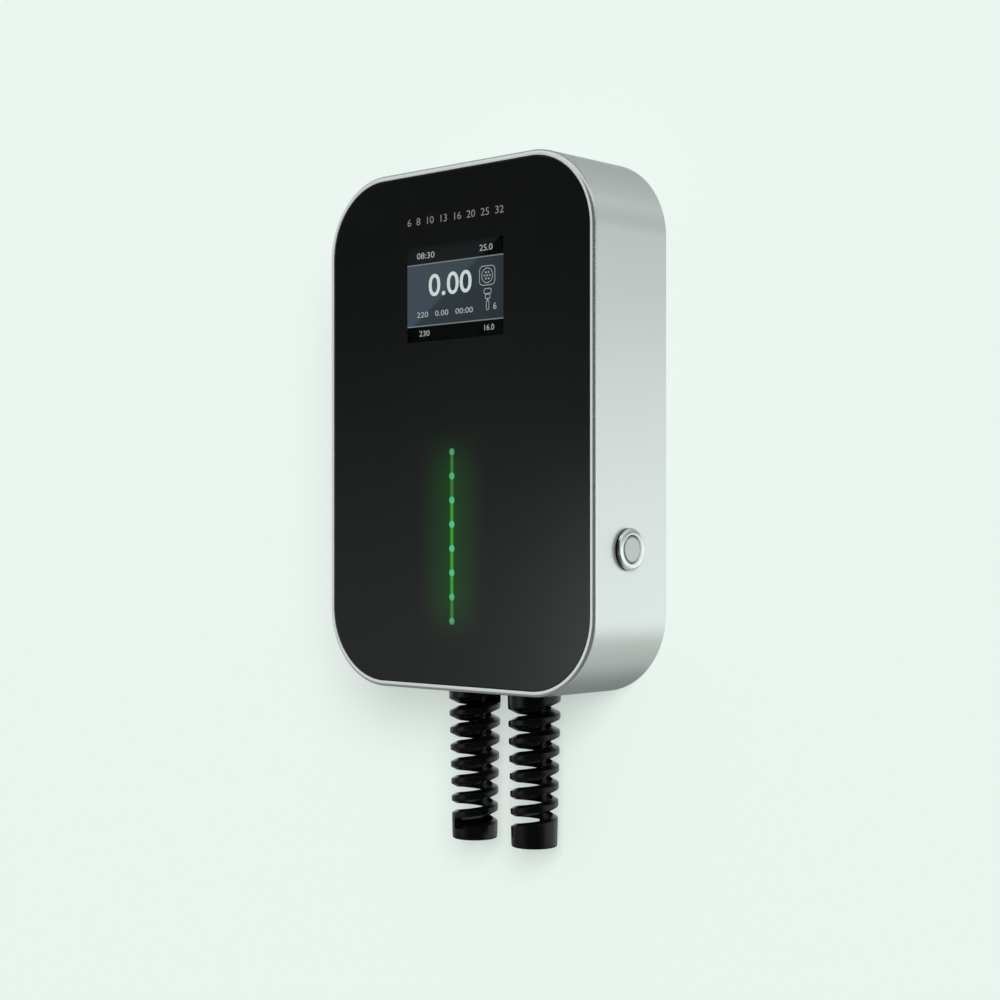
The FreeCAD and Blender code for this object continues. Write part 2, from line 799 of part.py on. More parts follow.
def board_standoffs():
    """Hexagonal pillars between the plate and the main board."""
    pillars = []
    for x, z in standoff_places():
        pillar = hexagon(STANDOFF_AF, STANDOFF_H, V(x, CHASSIS_BACK_Y, z), Y_AXIS)
        bore = Part.makeCylinder(
            MACHINE_SCREW_R,
            STANDOFF_SCREW_L,
            V(x, MAIN_BOARD_Y - STANDOFF_SCREW_L, z),
            Y_AXIS,
        )
        pillars.append(pillar.cut(bore))
    return pillars


def board_screws():
    """Hold the main board on its pillars."""
    length = BOARD_T + STANDOFF_SCREW_L - HOLE_GAP
    return [pan_screw(length, V(x, MAIN_BOARD_BACK_Y, z), Y_AXIS) for x, z in standoff_places()]


def power_supply():
    """Potted module on the main board."""
    body = block(
        POWER_X, MAIN_BOARD_Z, POWER_W, POWER_L, MAIN_BOARD_BACK_Y, MAIN_BOARD_BACK_Y + POWER_H
    )
    top_y = MAIN_BOARD_BACK_Y + POWER_H
    return body.makeChamfer(CHASSIS_T, edges_at(body, 1, top_y))


def contactor():
    """Stepped switch body with grooves between its poles."""
    base = block(
        CONTACTOR_X,
        CONTACTOR_Z,
        CONTACTOR_W,
        CONTACTOR_L,
        CHASSIS_BACK_Y,
        CHASSIS_BACK_Y + CONTACTOR_H - CONTACTOR_STEP,
    )
    head = block(
        CONTACTOR_X,
        CONTACTOR_Z,
        CONTACTOR_W,
        CONTACTOR_L - 2 * CONTACTOR_STEP,
        CHASSIS_BACK_Y,
        CHASSIS_BACK_Y + CONTACTOR_H,
    )
    pitch = CONTACTOR_W / (CONTACTOR_GROOVES + 1)
    grooves = []
    for index in range(CONTACTOR_GROOVES):
        x = CONTACTOR_X - CONTACTOR_W / 2 + pitch * (index + 1)
        for sz in (-1, 1):
            grooves.append(
                block(
                    x,
                    CONTACTOR_Z + sz * CONTACTOR_L / 2,
                    CONTACTOR_GROOVE_W,
                    CONTACTOR_STEP,
                    CHASSIS_BACK_Y + CONTACTOR_STEP,
                    CHASSIS_BACK_Y + CONTACTOR_H,
                )
            )
    return fused([base, head]).cut(grooves)


def leakage_sensor():
    """Ring core round the conductors, upright on its foot."""
    axis_y = CHASSIS_BACK_Y + SENSOR_FOOT_H + SENSOR_R
    base = V(SENSOR_X, axis_y, SENSOR_Z - SENSOR_L / 2)
    core = Part.makeCylinder(SENSOR_R, SENSOR_L, base, Z_AXIS)
    rims = edges_at(core, 2, SENSOR_Z - SENSOR_L / 2) + edges_at(core, 2, SENSOR_Z + SENSOR_L / 2)
    core = core.makeFillet(SENSOR_EDGE_R, rims)
    foot = block(SENSOR_X, SENSOR_Z, 2 * SENSOR_R, SENSOR_L, CHASSIS_BACK_Y, axis_y - SENSOR_R / 2)
    bore = Part.makeCylinder(SENSOR_BORE_R, SENSOR_L, base, Z_AXIS)
    return fused([core, foot]).cut(bore)


def terminal_width(ways):
    return ways * TERMINAL_PITCH + TERMINAL_WALL


def terminal_ways(ways, x):
    """Middle of each way of a block, from left to right."""
    first = x - (ways - 1) * TERMINAL_PITCH / 2
    return [first + index * TERMINAL_PITCH for index in range(ways)]


def terminal_block(ways, x):
    """Stepped block: a wire mouth and a screw well in each way."""
    width = terminal_width(ways)
    tall_y = CHASSIS_BACK_Y + TERMINAL_H
    low_y = tall_y - TERMINAL_STEP
    base = block(x, TERMINAL_Z, width, TERMINAL_L, CHASSIS_BACK_Y, low_y)
    crest = block(x, TERMINAL_Z, width, TERMINAL_L / 2, CHASSIS_BACK_Y, tall_y)
    well = TERMINAL_PITCH / 2 - TERMINAL_WALL
    mouth_y = CHASSIS_BACK_Y + TERMINAL_WIRE_R + TERMINAL_STEP / 2
    cutters = []
    for way_x in terminal_ways(ways, x):
        cutters.append(
            Part.makeCylinder(
                TERMINAL_WIRE_R,
                TERMINAL_WIRE_DEPTH,
                V(way_x, mouth_y, TERMINAL_Z - TERMINAL_L / 2),
                Z_AXIS,
            )
        )
        cutters.append(
            Part.makeCylinder(
                well, TERMINAL_STEP, V(way_x, tall_y - TERMINAL_STEP, TERMINAL_Z), Y_AXIS
            )
        )
    return fused([base, crest]).cut(cutters)


def terminal_screws():
    """Clamp screws at the bottom of every well."""
    seat_y = CHASSIS_BACK_Y + TERMINAL_H - TERMINAL_STEP
    head_r = TERMINAL_PITCH / 2 - TERMINAL_WALL - HOLE_GAP
    places = terminal_ways(SUPPLY_WAYS, -TERMINAL_X) + terminal_ways(LEAD_WAYS, TERMINAL_X)
    screws = []
    for x in places:
        head = Part.makeCylinder(head_r, TERMINAL_STEP / 2, V(x, seat_y, TERMINAL_Z), Y_AXIS)
        slot = block(
            x,
            TERMINAL_Z,
            2 * head_r,
            TERMINAL_WALL,
            seat_y + TERMINAL_STEP / 4,
            seat_y + TERMINAL_STEP / 2,
        )
        screws.append(head.cut(slot))
    return screws


def earth_stud():
    """Threaded stud through the plate, with its nut."""
    stud_r = STUD_R - THREAD_GAP
    stud = Part.makeCylinder(stud_r, STUD_L, V(0, CHASSIS_FRONT_Y, TERMINAL_Z), Y_AXIS)
    nut = hex_nut(STUD_NUT_AF, STUD_NUT_H, stud_r, V(0, CHASSIS_BACK_Y, TERMINAL_Z), Y_AXIS)
    return fused([stud, nut])


# Back of the box

def rear_gasket():
    """Sealing cord on the ledge, let out round the screw bosses."""
    inset = REAR_LIP_T + GASKET_GAP
    ring = frame(
        HOUSING_W - 2 * inset,
        HOUSING_H - 2 * inset,
        CORNER_R - inset,
        GASKET_W,
        LEDGE_Y,
        COVER_FRONT_Y,
    )
    return ring.cut(
        holes_along_y(cover_screw_places(), BOSS_R + GASKET_GAP, LEDGE_Y, COVER_FRONT_Y)
    )


def cover_screw(x, z, gap):
    """Countersunk screw, or with a gap the cutter for its hole."""
    head_r = COVER_HEAD_R + gap
    shank_r = COVER_SCREW_R - THREAD_GAP + gap
    tip = -COVER_SCREW_L - COVER_T
    cone_h = head_r - shank_r
    return turned(
        [(0, tip), (shank_r, tip), (shank_r, -cone_h), (head_r, 0), (0, 0)],
        V(x, 0, z),
        Y_AXIS,
    )


def rear_cover():
    """Pressed plate inside the rear rim, with a tray that clears the wall bracket."""
    inset = REAR_LIP_T + COVER_GAP
    plate = slab(
        HOUSING_W - 2 * inset,
        HOUSING_H - 2 * inset,
        CORNER_R - inset,
        COVER_FRONT_Y,
        0,
    )
    tray_outer = slab(
        TRAY_W + 2 * COVER_T,
        TRAY_H + 2 * COVER_T,
        TRAY_CORNER_R + COVER_T,
        TRAY_FRONT_Y,
        COVER_FRONT_Y,
        0,
        TRAY_Z,
    )
    tray_inner = slab(TRAY_W, TRAY_H, TRAY_CORNER_R, TRAY_BACK_Y, 0, 0, TRAY_Z)
    cutters = [tray_inner]
    slot_h = HOOK_RISE + BRACKET_T + 2 * SLOT_SIDE_GAP
    slot_top = BRACKET_Z + BRACKET_H / 2
    for side in (-1, 1):
        cutters.append(
            block(
                side * HOOK_X / 2,
                slot_top - slot_h / 2,
                HOOK_W + 2 * SLOT_SIDE_GAP,
                slot_h,
                TRAY_FRONT_Y,
                TRAY_BACK_Y,
            )
        )
    cutters += [cover_screw(x, z, THREAD_GAP) for x, z in cover_screw_places()]
    return fused([plate, tray_outer]).cut(cutters)


def rear_cover_screws():
    """Flush screws round the edge of the cover."""
    return [cover_screw(x, z, 0) for x, z in cover_screw_places()]


def wall_bracket():
    """Plate on the wall with two folded hooks that carry the box by its tray."""
    plate = slab(
        BRACKET_W, BRACKET_H, BRACKET_CORNER_R, -BRACKET_T, 0, 0, BRACKET_Z
    )
    top_z = BRACKET_Z + BRACKET_H / 2
    reach_y = TRAY_FRONT_Y - HOOK_GAP - BRACKET_T
    hooks = []
    for side in (-1, 1):
        x = side * HOOK_X / 2
        hooks.append(block(x, top_z - BRACKET_T / 2, HOOK_W, BRACKET_T, reach_y, 0))
        rise_h = HOOK_RISE + BRACKET_T
        hooks.append(
            block(x, top_z - BRACKET_T + rise_h / 2, HOOK_W, rise_h, reach_y, reach_y + BRACKET_T)
        )
    holes = [
        (sx * BRACKET_HOLE_X / 2, BRACKET_Z + sz * BRACKET_HOLE_Z / 2)
        for sx in (-1, 1)
        for sz in (-1, 1)
    ]
    return fused([plate] + hooks).cut(holes_along_y(holes, BRACKET_HOLE_R, -BRACKET_T, 0))


# Push button

def button_point(x):
    return V(x, BUTTON_Y, BUTTON_Z)


def button_bezel():
    """Turned ring and barrel; the floor of the barrel guides the stem of the cap."""
    bore_r = CAP_R + CAP_GAP
    stem_bore_r = STEM_R + STEM_GAP
    floor_h = BARREL_FLOOR_X - BEZEL_BACK_X
    tail_h = BARREL_TAIL_X - BEZEL_BACK_X
    return turned(
        [
            (bore_r, floor_h),
            (bore_r, BEZEL_H),
            (BEZEL_FACE_R, BEZEL_H),
            ((BEZEL_FACE_R + BEZEL_R) / 2, BEZEL_H - (BEZEL_H - BEZEL_EDGE_H) / 3),
            (BEZEL_R, BEZEL_EDGE_H),
            (BEZEL_R, 0),
            (BARREL_R, 0),
            (BARREL_R, tail_h),
            (BARREL_TAIL_R, tail_h),
            (BARREL_TAIL_R, floor_h - BARREL_FLOOR_T),
            (stem_bore_r, floor_h - BARREL_FLOOR_T),
            (stem_bore_r, floor_h),
        ],
        button_point(BEZEL_BACK_X),
        X_AXIS,
    )


def button_cap():
    """Flat cap on its stem; it slides into the barrel."""
    return turned(
        [
            (0, STEM_END_X - CAP_FACE_X),
            (STEM_R, STEM_END_X - CAP_FACE_X),
            (STEM_R, -CAP_T),
            (CAP_R, -CAP_T),
            (CAP_R, -CAP_EDGE),
            (CAP_R - CAP_EDGE, 0),
            (0, 0),
        ],
        button_point(CAP_FACE_X),
        X_AXIS,
    )


def button_clip():
    """Snap ring on the stem behind the floor of the barrel: it stops the cap at rest."""
    return tube(CLIP_R, STEM_R, CLIP_T, button_point(CLIP_X), X_AXIS)


def button_spring():
    """Round wire coil between the floor of the barrel and the cap."""
    end_gap = SPRING_WIRE_R + SPRING_GAP
    length = SPRING_L - 2 * end_gap
    helix = Part.makeHelix(length / SPRING_TURNS, length, SPRING_R)
    circle = Part.makeCircle(SPRING_WIRE_R, V(SPRING_R, 0, 0), Y_AXIS)
    coil = Part.Wire(helix.Edges).makePipeShell([Part.Wire([circle])], True, True)
    return placed(coil, button_point(BARREL_FLOOR_X + end_gap), X_AXIS)


def button_seal():
    """Rubber washer under the ring."""
    return tube(
        BUTTON_SEAL_R, BARREL_R + THREAD_GAP, BUTTON_SEAL_T, button_point(SIDE_X), X_AXIS
    )


def button_nut():
    """Clamps the barrel against the inside of the wall."""
    base = button_point(SIDE_X - WALL_T - BUTTON_NUT_H)
    return hex_nut(BUTTON_NUT_AF, BUTTON_NUT_H, BARREL_R + THREAD_GAP, base, X_AXIS)


def button_switch():
    """Contact block on the end of the barrel, with two blade contacts."""
    body = Part.makeCylinder(SWITCH_R, SWITCH_L, button_point(SWITCH_END_X), X_AXIS)
    bore_depth = STEM_ENTRY + CAP_TRAVEL + SWITCH_BORE_SPARE
    bore_base = button_point(BARREL_TAIL_X - bore_depth)
    bore = Part.makeCylinder(STEM_R + STEM_GAP, bore_depth, bore_base, X_AXIS)
    blades = [
        Part.makeBox(
            2 * BLADE_L,
            BLADE_T,
            BLADE_W,
            V(
                SWITCH_END_X - BLADE_L,
                BUTTON_Y + side * BLADE_X - BLADE_T / 2,
                BUTTON_Z - BLADE_W / 2,
            ),
        )
        for side in (-1, 1)
    ]
    return fused([body] + blades).cut(bore)


# Cable glands

def helical_slot(extra):
    """Cutter that winds down the tapering sleeve from angle zero; it is wider at the outside."""
    height = SLOT_PITCH * (SLOT_TURNS + extra)
    taper = (GLAND_TOP_R - GLAND_END_R) / (GLAND_L - GLAND_FOOT_L)
    low_z = GLAND_TOP_Z - SLOT_START - height
    low_r = GLAND_TOP_R - taper * (SLOT_START + height)
    helix = Part.makeHelix(SLOT_PITCH, height, low_r, math.degrees(math.atan(taper)))
    outer = SLOT_OVERRUN
    inner = -(GLAND_TOP_R - GLAND_BORE_END_R)
    slope = (SLOT_OUTER_W - SLOT_INNER_W) / 2 / (GLAND_TOP_R - GLAND_BORE_TOP_R)
    half_outer = SLOT_OUTER_W / 2 + slope * outer
    half_inner = SLOT_OUTER_W / 2 + slope * inner
    corners = [
        V(low_r + inner, 0, -half_inner),
        V(low_r + outer, 0, -half_outer),
        V(low_r + outer, 0, half_outer),
        V(low_r + inner, 0, half_inner),
    ]
    section = Part.makePolygon(corners + corners[:1])
    cutter = Part.Wire(helix.Edges).makePipeShell([section], True, True)
    cutter.rotate(V(0, 0, 0), Z_AXIS, math.degrees(-2 * math.pi * extra))
    cutter.translate(V(0, 0, low_z))
    return cutter


def spiral_gland(x, turn, extra):
    """Moulded gland: a neck through the floor, a collar and a spiral bend relief."""
    neck_top = NECK_L + WASHER_T
    sleeve = turned(
        [
            (NECK_BORE_R, neck_top),
            (NECK_R, neck_top),
            (NECK_R, 0),
            (GLAND_TOP_R - GLAND_EDGE_R, 0),
            (GLAND_TOP_R, -GLAND_EDGE_R),
            (GLAND_END_R, GLAND_FOOT_L - GLAND_L),
            (GLAND_END_R - GLAND_EDGE_R / 2, GLAND_END_ROUND - GLAND_L),
            (GLAND_END_R - GLAND_END_ROUND, -GLAND_L),
            (GLAND_BORE_END_R, -GLAND_L),
            (GLAND_BORE_TOP_R, -SLOT_START),
            (NECK_BORE_R, -SLOT_START / 2),
        ],
        V(0, 0, GLAND_TOP_Z),
        Z_AXIS,
    )
    shape = sleeve.cut(helical_slot(extra))
    shape.rotate(V(0, 0, 0), Z_AXIS, turn)
    shape.translate(V(x, GLAND_Y, 0))
    return shape


def gland_washer(x):
    """Flat seal between the collar and the floor of the box."""
    return tube(WASHER_R, NECK_R + THREAD_GAP, WASHER_T, V(x, GLAND_Y, GLAND_TOP_Z), Z_AXIS)


def gland_locknut(x):
    """Clamps the neck from inside the box."""
    base = V(x, GLAND_Y, FLOOR_Z + WALL_T)
    nut = hex_nut(LOCKNUT_AF, LOCKNUT_H, NECK_R + THREAD_GAP, V(0, 0, 0), Z_AXIS)
    nut.rotate(V(0, 0, 0), Z_AXIS, 30)
    nut.translate(base)
    return nut


def cable_seal(x):
    """Soft bush in the neck that grips the cable, with its head on the neck's end."""
    top_z = GLAND_TOP_Z + WASHER_T + NECK_L
    return turned(
        [
            (SEAL_BORE_R, -SEAL_L),
            (NECK_BORE_R - THREAD_GAP, -SEAL_L),
            (NECK_BORE_R - THREAD_GAP, 0),
            (SEAL_HEAD_R, 0),
            (SEAL_HEAD_R, SEAL_HEAD_T),
            (SEAL_BORE_R, SEAL_HEAD_T),
        ],
        V(x, GLAND_Y, top_z),
        Z_AXIS,
    )


def all_pieces():
    """Every piece by name; a list holds the copies of one kind."""
    pieces = {
        "housing": housing(),
        "front_glass": front_glass(),
        "glass_tape": glass_tape(),
        "display_frame": display_frame(),
        "lcd_panel": lcd_panel(),
        "display_board": display_board(),
        "display_screws": display_screws(),
        "light_guide": light_guide(),
        "led_board": led_board(),
        "led_chips": led_chips(),
        "led_screws": led_screws(),
        "chassis_plate": chassis_plate(),
        "chassis_screws": chassis_screws(),
        "main_board": main_board(),
        "board_standoffs": board_standoffs(),
        "board_screws": board_screws(),
        "power_supply": power_supply(),
        "contactor": contactor(),
        "leakage_sensor": leakage_sensor(),
        "supply_terminals": terminal_block(SUPPLY_WAYS, -TERMINAL_X),
        "lead_terminals": terminal_block(LEAD_WAYS, TERMINAL_X),
        "terminal_screws": terminal_screws(),
        "earth_stud": earth_stud(),
        "rear_gasket": rear_gasket(),
        "rear_cover": rear_cover(),
        "rear_cover_screws": rear_cover_screws(),
        "wall_bracket": wall_bracket(),
        "button_bezel": button_bezel(),
        "button_cap": button_cap(),
        "button_clip": button_clip(),
        "button_spring": button_spring(),
        "button_seal": button_seal(),
        "button_nut": button_nut(),
        "button_switch": button_switch(),
    }
    glands = (
        ("supply", -GLAND_X, SUPPLY_SLOT_TURN, SUPPLY_SLOT_EXTRA),
        ("lead", GLAND_X, LEAD_SLOT_TURN, 0),
    )
    for name, x, turn, extra in glands:
        pieces[name + "_spiral_gland"] = spiral_gland(x, turn, extra)
        pieces[name + "_gland_washer"] = gland_washer(x)
        pieces[name + "_gland_locknut"] = gland_locknut(x)
        pieces[name + "_cable_seal"] = cable_seal(x)
    return pieces


os.makedirs("parts", exist_ok=True)
for node, piece in all_pieces().items():
    shape = Part.makeCompound(piece) if isinstance(piece, list) else piece
    solids = shape.Solids
    valid = shape.isValid()
    if len(solids) == 1:
        shape = solids[0]
    shape.exportStep("parts/" + node + ".step")
    print(node, len(solids), "valid" if valid else "INVALID", round(shape.Volume))
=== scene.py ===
# %% [markdown]
# A charging box that hangs on a wall: a silver tub with rounded corners, a flush black glass
# with a display and a green light line, one metal push button on its right side and two
# spiral cable glands below. The solid model of its engineering parts is loaded first and
# stays fixed. Everything that is seen is then modelled over it or gets a finish of its own.
# All lengths are in metres, in the same frame as the solid model: X to the right, Y towards
# the wall, Z up, with the origin in the middle of the wall plane.

# %% Load the fixed frame
import json
import math

import bpy
from mathutils import Euler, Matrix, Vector


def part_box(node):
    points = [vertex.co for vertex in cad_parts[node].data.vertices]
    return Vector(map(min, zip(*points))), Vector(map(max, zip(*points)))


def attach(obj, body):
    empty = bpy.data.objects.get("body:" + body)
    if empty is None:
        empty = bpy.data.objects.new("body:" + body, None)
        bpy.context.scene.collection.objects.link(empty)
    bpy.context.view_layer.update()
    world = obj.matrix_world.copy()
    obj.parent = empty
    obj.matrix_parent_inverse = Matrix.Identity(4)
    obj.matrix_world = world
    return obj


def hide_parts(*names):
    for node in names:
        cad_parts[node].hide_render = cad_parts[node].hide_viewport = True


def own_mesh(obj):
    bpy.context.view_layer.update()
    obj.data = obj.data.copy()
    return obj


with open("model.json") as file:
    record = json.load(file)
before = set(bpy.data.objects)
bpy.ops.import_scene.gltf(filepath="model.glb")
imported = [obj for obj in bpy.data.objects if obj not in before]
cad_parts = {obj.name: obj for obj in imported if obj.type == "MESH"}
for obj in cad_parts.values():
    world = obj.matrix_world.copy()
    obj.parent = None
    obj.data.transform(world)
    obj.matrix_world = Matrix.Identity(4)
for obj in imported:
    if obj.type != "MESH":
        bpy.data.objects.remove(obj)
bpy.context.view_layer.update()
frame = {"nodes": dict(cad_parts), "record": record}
MM = 0.001

# %% [markdown]
# A few small helpers carry the handwork. An operator acts on all that is selected, so one
# leaves nothing selected and one leaves a single object. One opens a mesh with only the
# faces, edges or points that pass a test of place or direction. The others push, round,
# smooth, move and copy what is there.

# %% Helpers for modelling
def deselect():
    bpy.ops.object.select_all(action="DESELECT")


def alone(piece):
    """Leaves one object selected and active."""
    deselect()
    piece.select_set(True)
    bpy.context.view_layer.objects.active = piece


def named(name):
    """Names the primitive that was just added and applies its place and size."""
    piece = bpy.context.object
    piece.name = name
    piece.data.name = name
    alone(piece)
    bpy.ops.object.transform_apply(location=True, rotation=True, scale=True)
    return piece


def open_edit():
    bpy.ops.object.mode_set(mode="EDIT")


def close_edit():
    bpy.ops.object.mode_set(mode="OBJECT")


def take_all():
    bpy.ops.mesh.select_all(action="SELECT")


def open_all(piece):
    """Opens a piece with all of it selected."""
    alone(piece)
    open_edit()
    take_all()


def pick(piece, part, test):
    """Opens a piece with only the faces, edges or points selected that pass a test."""
    alone(piece)
    open_edit()
    bpy.ops.mesh.select_mode(type=part)
    bpy.ops.mesh.select_all(action="DESELECT")
    close_edit()
    mesh = piece.data
    if part == "FACE":
        for face in mesh.polygons:
            face.select = test(face.center, face.normal)
    elif part == "EDGE":
        for edge in mesh.edges:
            start, end = (mesh.vertices[index].co for index in edge.vertices)
            edge.select = test((start + end) / 2, (end - start).normalized())
    else:
        for point in mesh.vertices:
            point.select = test(point.co, point.normal)
    open_edit()


def push(x, y, z):
    """Extrudes what is selected by a distance."""
    bpy.ops.mesh.extrude_region_move(TRANSFORM_OT_translate={"value": (x, y, z)})


def apply_modifier(piece, kind, settings):
    """Adds one modifier with its settings and applies it."""
    alone(piece)
    modifier = piece.modifiers.new(kind.lower(), kind)
    for key, value in settings.items():
        setattr(modifier, key, value)
    bpy.ops.object.modifier_apply(modifier=modifier.name)


def soften(piece, width, segments=2, angle=30):
    """Rounds every edge that is sharper than an angle."""
    apply_modifier(piece, "BEVEL", {
        "width": width,
        "segments": segments,
        "limit_method": "ANGLE",
        "angle_limit": math.radians(angle),
        "use_clamp_overlap": True,
    })


def smooth(piece, angle=35):
    """Shades the rounded parts smooth and keeps the flat parts flat."""
    alone(piece)
    bpy.ops.object.shade_smooth_by_angle(angle=math.radians(angle))
    apply_modifier(piece, "WEIGHTED_NORMAL", {"keep_sharp": True, "weight": 80})


def lay(piece, place, turn):
    """Turns a piece and puts it in its place, in its own mesh."""
    alone(piece)
    piece.rotation_euler = turn
    piece.location = place
    bpy.ops.object.transform_apply(location=True, rotation=True, scale=True)
    return piece


def copy_of(piece, name):
    """Copy with a mesh of its own."""
    twin = piece.copy()
    twin.data = piece.data.copy()
    twin.name = name
    twin.data.name = name
    bpy.context.collection.objects.link(twin)
    return twin


print("helpers ready")

# %% [markdown]
# The tub, the glass and the display cut-out are all plates with rounded corners. Such a plate
# starts as a cube at its size and place, and the four edges that run across the wall are
# bevelled with many segments, which gives true quarter circles. Edges round an outline are
# found again by their distance to that outline.

# %% Rounded plates
def rounded_plate(name, width, height, corner, front, back, x=0.0, z=0.0, steps=24):
    """Plate between two planes across Y, with its four corners rounded."""
    deselect()
    bpy.ops.mesh.primitive_cube_add(
        size=1, location=(x, (front + back) / 2, z), scale=(width, back - front, height)
    )
    piece = named(name)
    pick(piece, "EDGE", lambda middle, along: abs(along.y) > 0.99)
    bpy.ops.mesh.bevel(offset=corner, segments=steps, profile=0.5, affect="EDGES")
    close_edit()
    return piece


def outline_gap(point, width, height, corner):
    """How far a point lies outside a rounded outline round the middle."""
    over_x = abs(point.x) - width / 2 + corner
    over_z = abs(point.z) - height / 2 + corner
    inner = min(max(over_x, over_z), 0)
    return math.hypot(max(over_x, 0), max(over_z, 0)) + inner - corner


def round_outline(piece, y, width, height, corner, radius, segments):
    """Bevels the closed edge that runs round an outline in one plane across Y."""
    near = 0.15 * MM

    def on_edge(middle, along):
        across = abs(along.y) < 0.5 and abs(middle.y - y) < near
        return across and abs(outline_gap(middle, width, height, corner)) < near

    pick(piece, "EDGE", on_edge)
    bpy.ops.mesh.bevel(offset=radius, segments=segments, profile=0.5, affect="EDGES")
    close_edit()


# %% [markdown]
# Turned parts, such as the ring of the button, are lathe work. The profile is drawn as one
# point that is extruded from corner to corner, and then spun once round its axis. Spinning
# leaves a seam and can turn the skin inside out, so the seam is merged and the normals are
# recalculated. The profile is drawn in the X Z plane round the Z axis, and the finished
# shape is then laid along the axis that it needs.

# %% Lathe
def lathe(name, profile, steps=96, closed=True):
    """Spins a profile of (radius, height) points round the Z axis."""
    deselect()
    bpy.ops.mesh.primitive_plane_add(size=MM)
    piece = named(name)
    open_edit()
    bpy.ops.mesh.select_mode(type="VERT")
    take_all()
    bpy.ops.mesh.merge(type="CENTER")
    bpy.ops.transform.translate(value=(profile[0][0], 0, profile[0][1]))
    corners = profile + profile[:1] if closed else profile
    for (r0, z0), (r1, z1) in zip(corners, corners[1:]):
        push(r1 - r0, 0, z1 - z0)
    take_all()
    bpy.ops.mesh.remove_doubles(threshold=0.01 * MM)
    take_all()
    bpy.ops.mesh.spin(steps=steps, angle=2 * math.pi, center=(0, 0, 0), axis=(0, 0, 1))
    take_all()
    bpy.ops.mesh.remove_doubles(threshold=0.005 * MM)
    bpy.ops.mesh.normals_make_consistent(inside=False)
    close_edit()
    return piece


# %% [markdown]
# The housing is the largest form: a cast tub of 235 by 340 by 71 mm with corners of 52 mm.
# Its outer size comes from the solid model. The lip in front is narrow and flat, and the edge
# outside it is rounded. The other values are the wall, the web behind the glass, and the
# ledge at the back that takes the cover.

# %% Sizes of the housing
low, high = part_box("housing")
WIDTH = high.x - low.x
HEIGHT = high.z - low.z
FRONT = low.y
CORNER = 52 * MM
LIP = 1.3 * MM
EDGE = 2.5 * MM
RIM = LIP + EDGE
POCKET = 5.5 * MM
WEB = 3 * MM
WEB_FRONT = FRONT + POCKET
WEB_BACK = WEB_FRONT + WEB
WALL = 4.5 * MM
REAR_LIP = 1.5 * MM
LEDGE = -3 * MM
FINE_EDGE = 0.5 * MM
REAR_EDGE = 0.8 * MM
print("housing", round(WIDTH, 4), round(HEIGHT, 4), "front", round(FRONT, 4))

# %% [markdown]
# The tub could be a plain box with a bevel modifier, but then the lip and the pocket of the
# glass would be lost. So the plate's front face is inset and pushed in for the pocket, its
# back face is inset and pushed in twice for the ledge of the cover and the hollow inside,
# and only then are the edges rounded, each with its own radius.

# %% Housing shell
shell = rounded_plate("housing_shell", WIDTH, HEIGHT, CORNER, FRONT, 0, steps=40)
pick(shell, "FACE", lambda middle, normal: normal.y < -0.99)
bpy.ops.mesh.inset(thickness=RIM)
push(0, WEB_FRONT - FRONT, 0)
close_edit()
pick(shell, "FACE", lambda middle, normal: normal.y > 0.99 and middle.y > -MM)
bpy.ops.mesh.inset(thickness=REAR_LIP)
push(0, LEDGE, 0)
bpy.ops.mesh.inset(thickness=WALL - REAR_LIP)
push(0, WEB_BACK - LEDGE, 0)
close_edit()
round_outline(shell, FRONT, WIDTH, HEIGHT, CORNER, EDGE, 8)
round_outline(shell, FRONT, WIDTH - 2 * RIM, HEIGHT - 2 * RIM, CORNER - RIM, FINE_EDGE, 3)
round_outline(shell, 0, WIDTH, HEIGHT, CORNER, REAR_EDGE, 4)
print("shell", len(shell.data.polygons), "faces before its holes")

# %% [markdown]
# The web behind the glass is open at the display and at the light guide, the right wall has a
# round hole for the button, and the floor has two for the gland necks. Such holes could be
# made by joining loops of points by hand. A Boolean modifier with a solid cutter is quicker
# and is exact, and nothing bends near these holes, so its plain faces do no harm.

# %% Holes in the housing
cap_low, cap_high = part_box("button_cap")
BUTTON = (cap_low + cap_high) / 2
BUTTON.x = cap_high.x
GLANDS = {
    name: sum(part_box(name + "_spiral_gland"), Vector()) / 2 for name in ("supply", "lead")
}


def cut(piece, cutter):
    """Takes one solid out of another and removes the cutter."""
    settings = {"operation": "DIFFERENCE", "object": cutter, "solver": "EXACT"}
    apply_modifier(piece, "BOOLEAN", settings)
    bpy.data.objects.remove(cutter)


def round_cutter(name, radius, length, place, turn):
    """Plain round bar that is only used to cut with."""
    deselect()
    bpy.ops.mesh.primitive_cylinder_add(
        vertices=64, radius=radius, depth=length, location=place, rotation=turn
    )
    return named(name)


def span(node):
    """Width, height and middle of a node as it is seen from the front."""
    lowest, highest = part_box(node)
    size, middle = highest - lowest, (highest + lowest) / 2
    return size.x, size.z, middle.x, middle.z


lcd_w, lcd_h, lcd_x, lcd_z = span("lcd_panel")
HOLDER = 3.1 * MM
CUT_FRONT, CUT_BACK = WEB_FRONT - MM, WEB_BACK + MM
cut(shell, rounded_plate(
    "display_cutter", lcd_w + 2 * HOLDER, lcd_h + 2 * HOLDER, 2.5 * MM,
    CUT_FRONT, CUT_BACK, lcd_x, lcd_z, 6,
))
guide_x, guide_z = span("led_board")[2:]
GUIDE_W, GUIDE_L = 7.6 * MM, 124.8 * MM
GUIDE_CORNER = 3.7 * MM
cut(shell, rounded_plate(
    "guide_cutter", GUIDE_W, GUIDE_L, GUIDE_CORNER, CUT_FRONT, CUT_BACK, guide_x, guide_z, 8
))
SIDE_TURN = (0, math.pi / 2, 0)
BUTTON_HOLE_R = 11.1 * MM
wall_middle = (WIDTH / 2 - WALL / 2, BUTTON.y, BUTTON.z)
cut(shell, round_cutter("button_cutter", BUTTON_HOLE_R, 4 * WALL, wall_middle, SIDE_TURN))
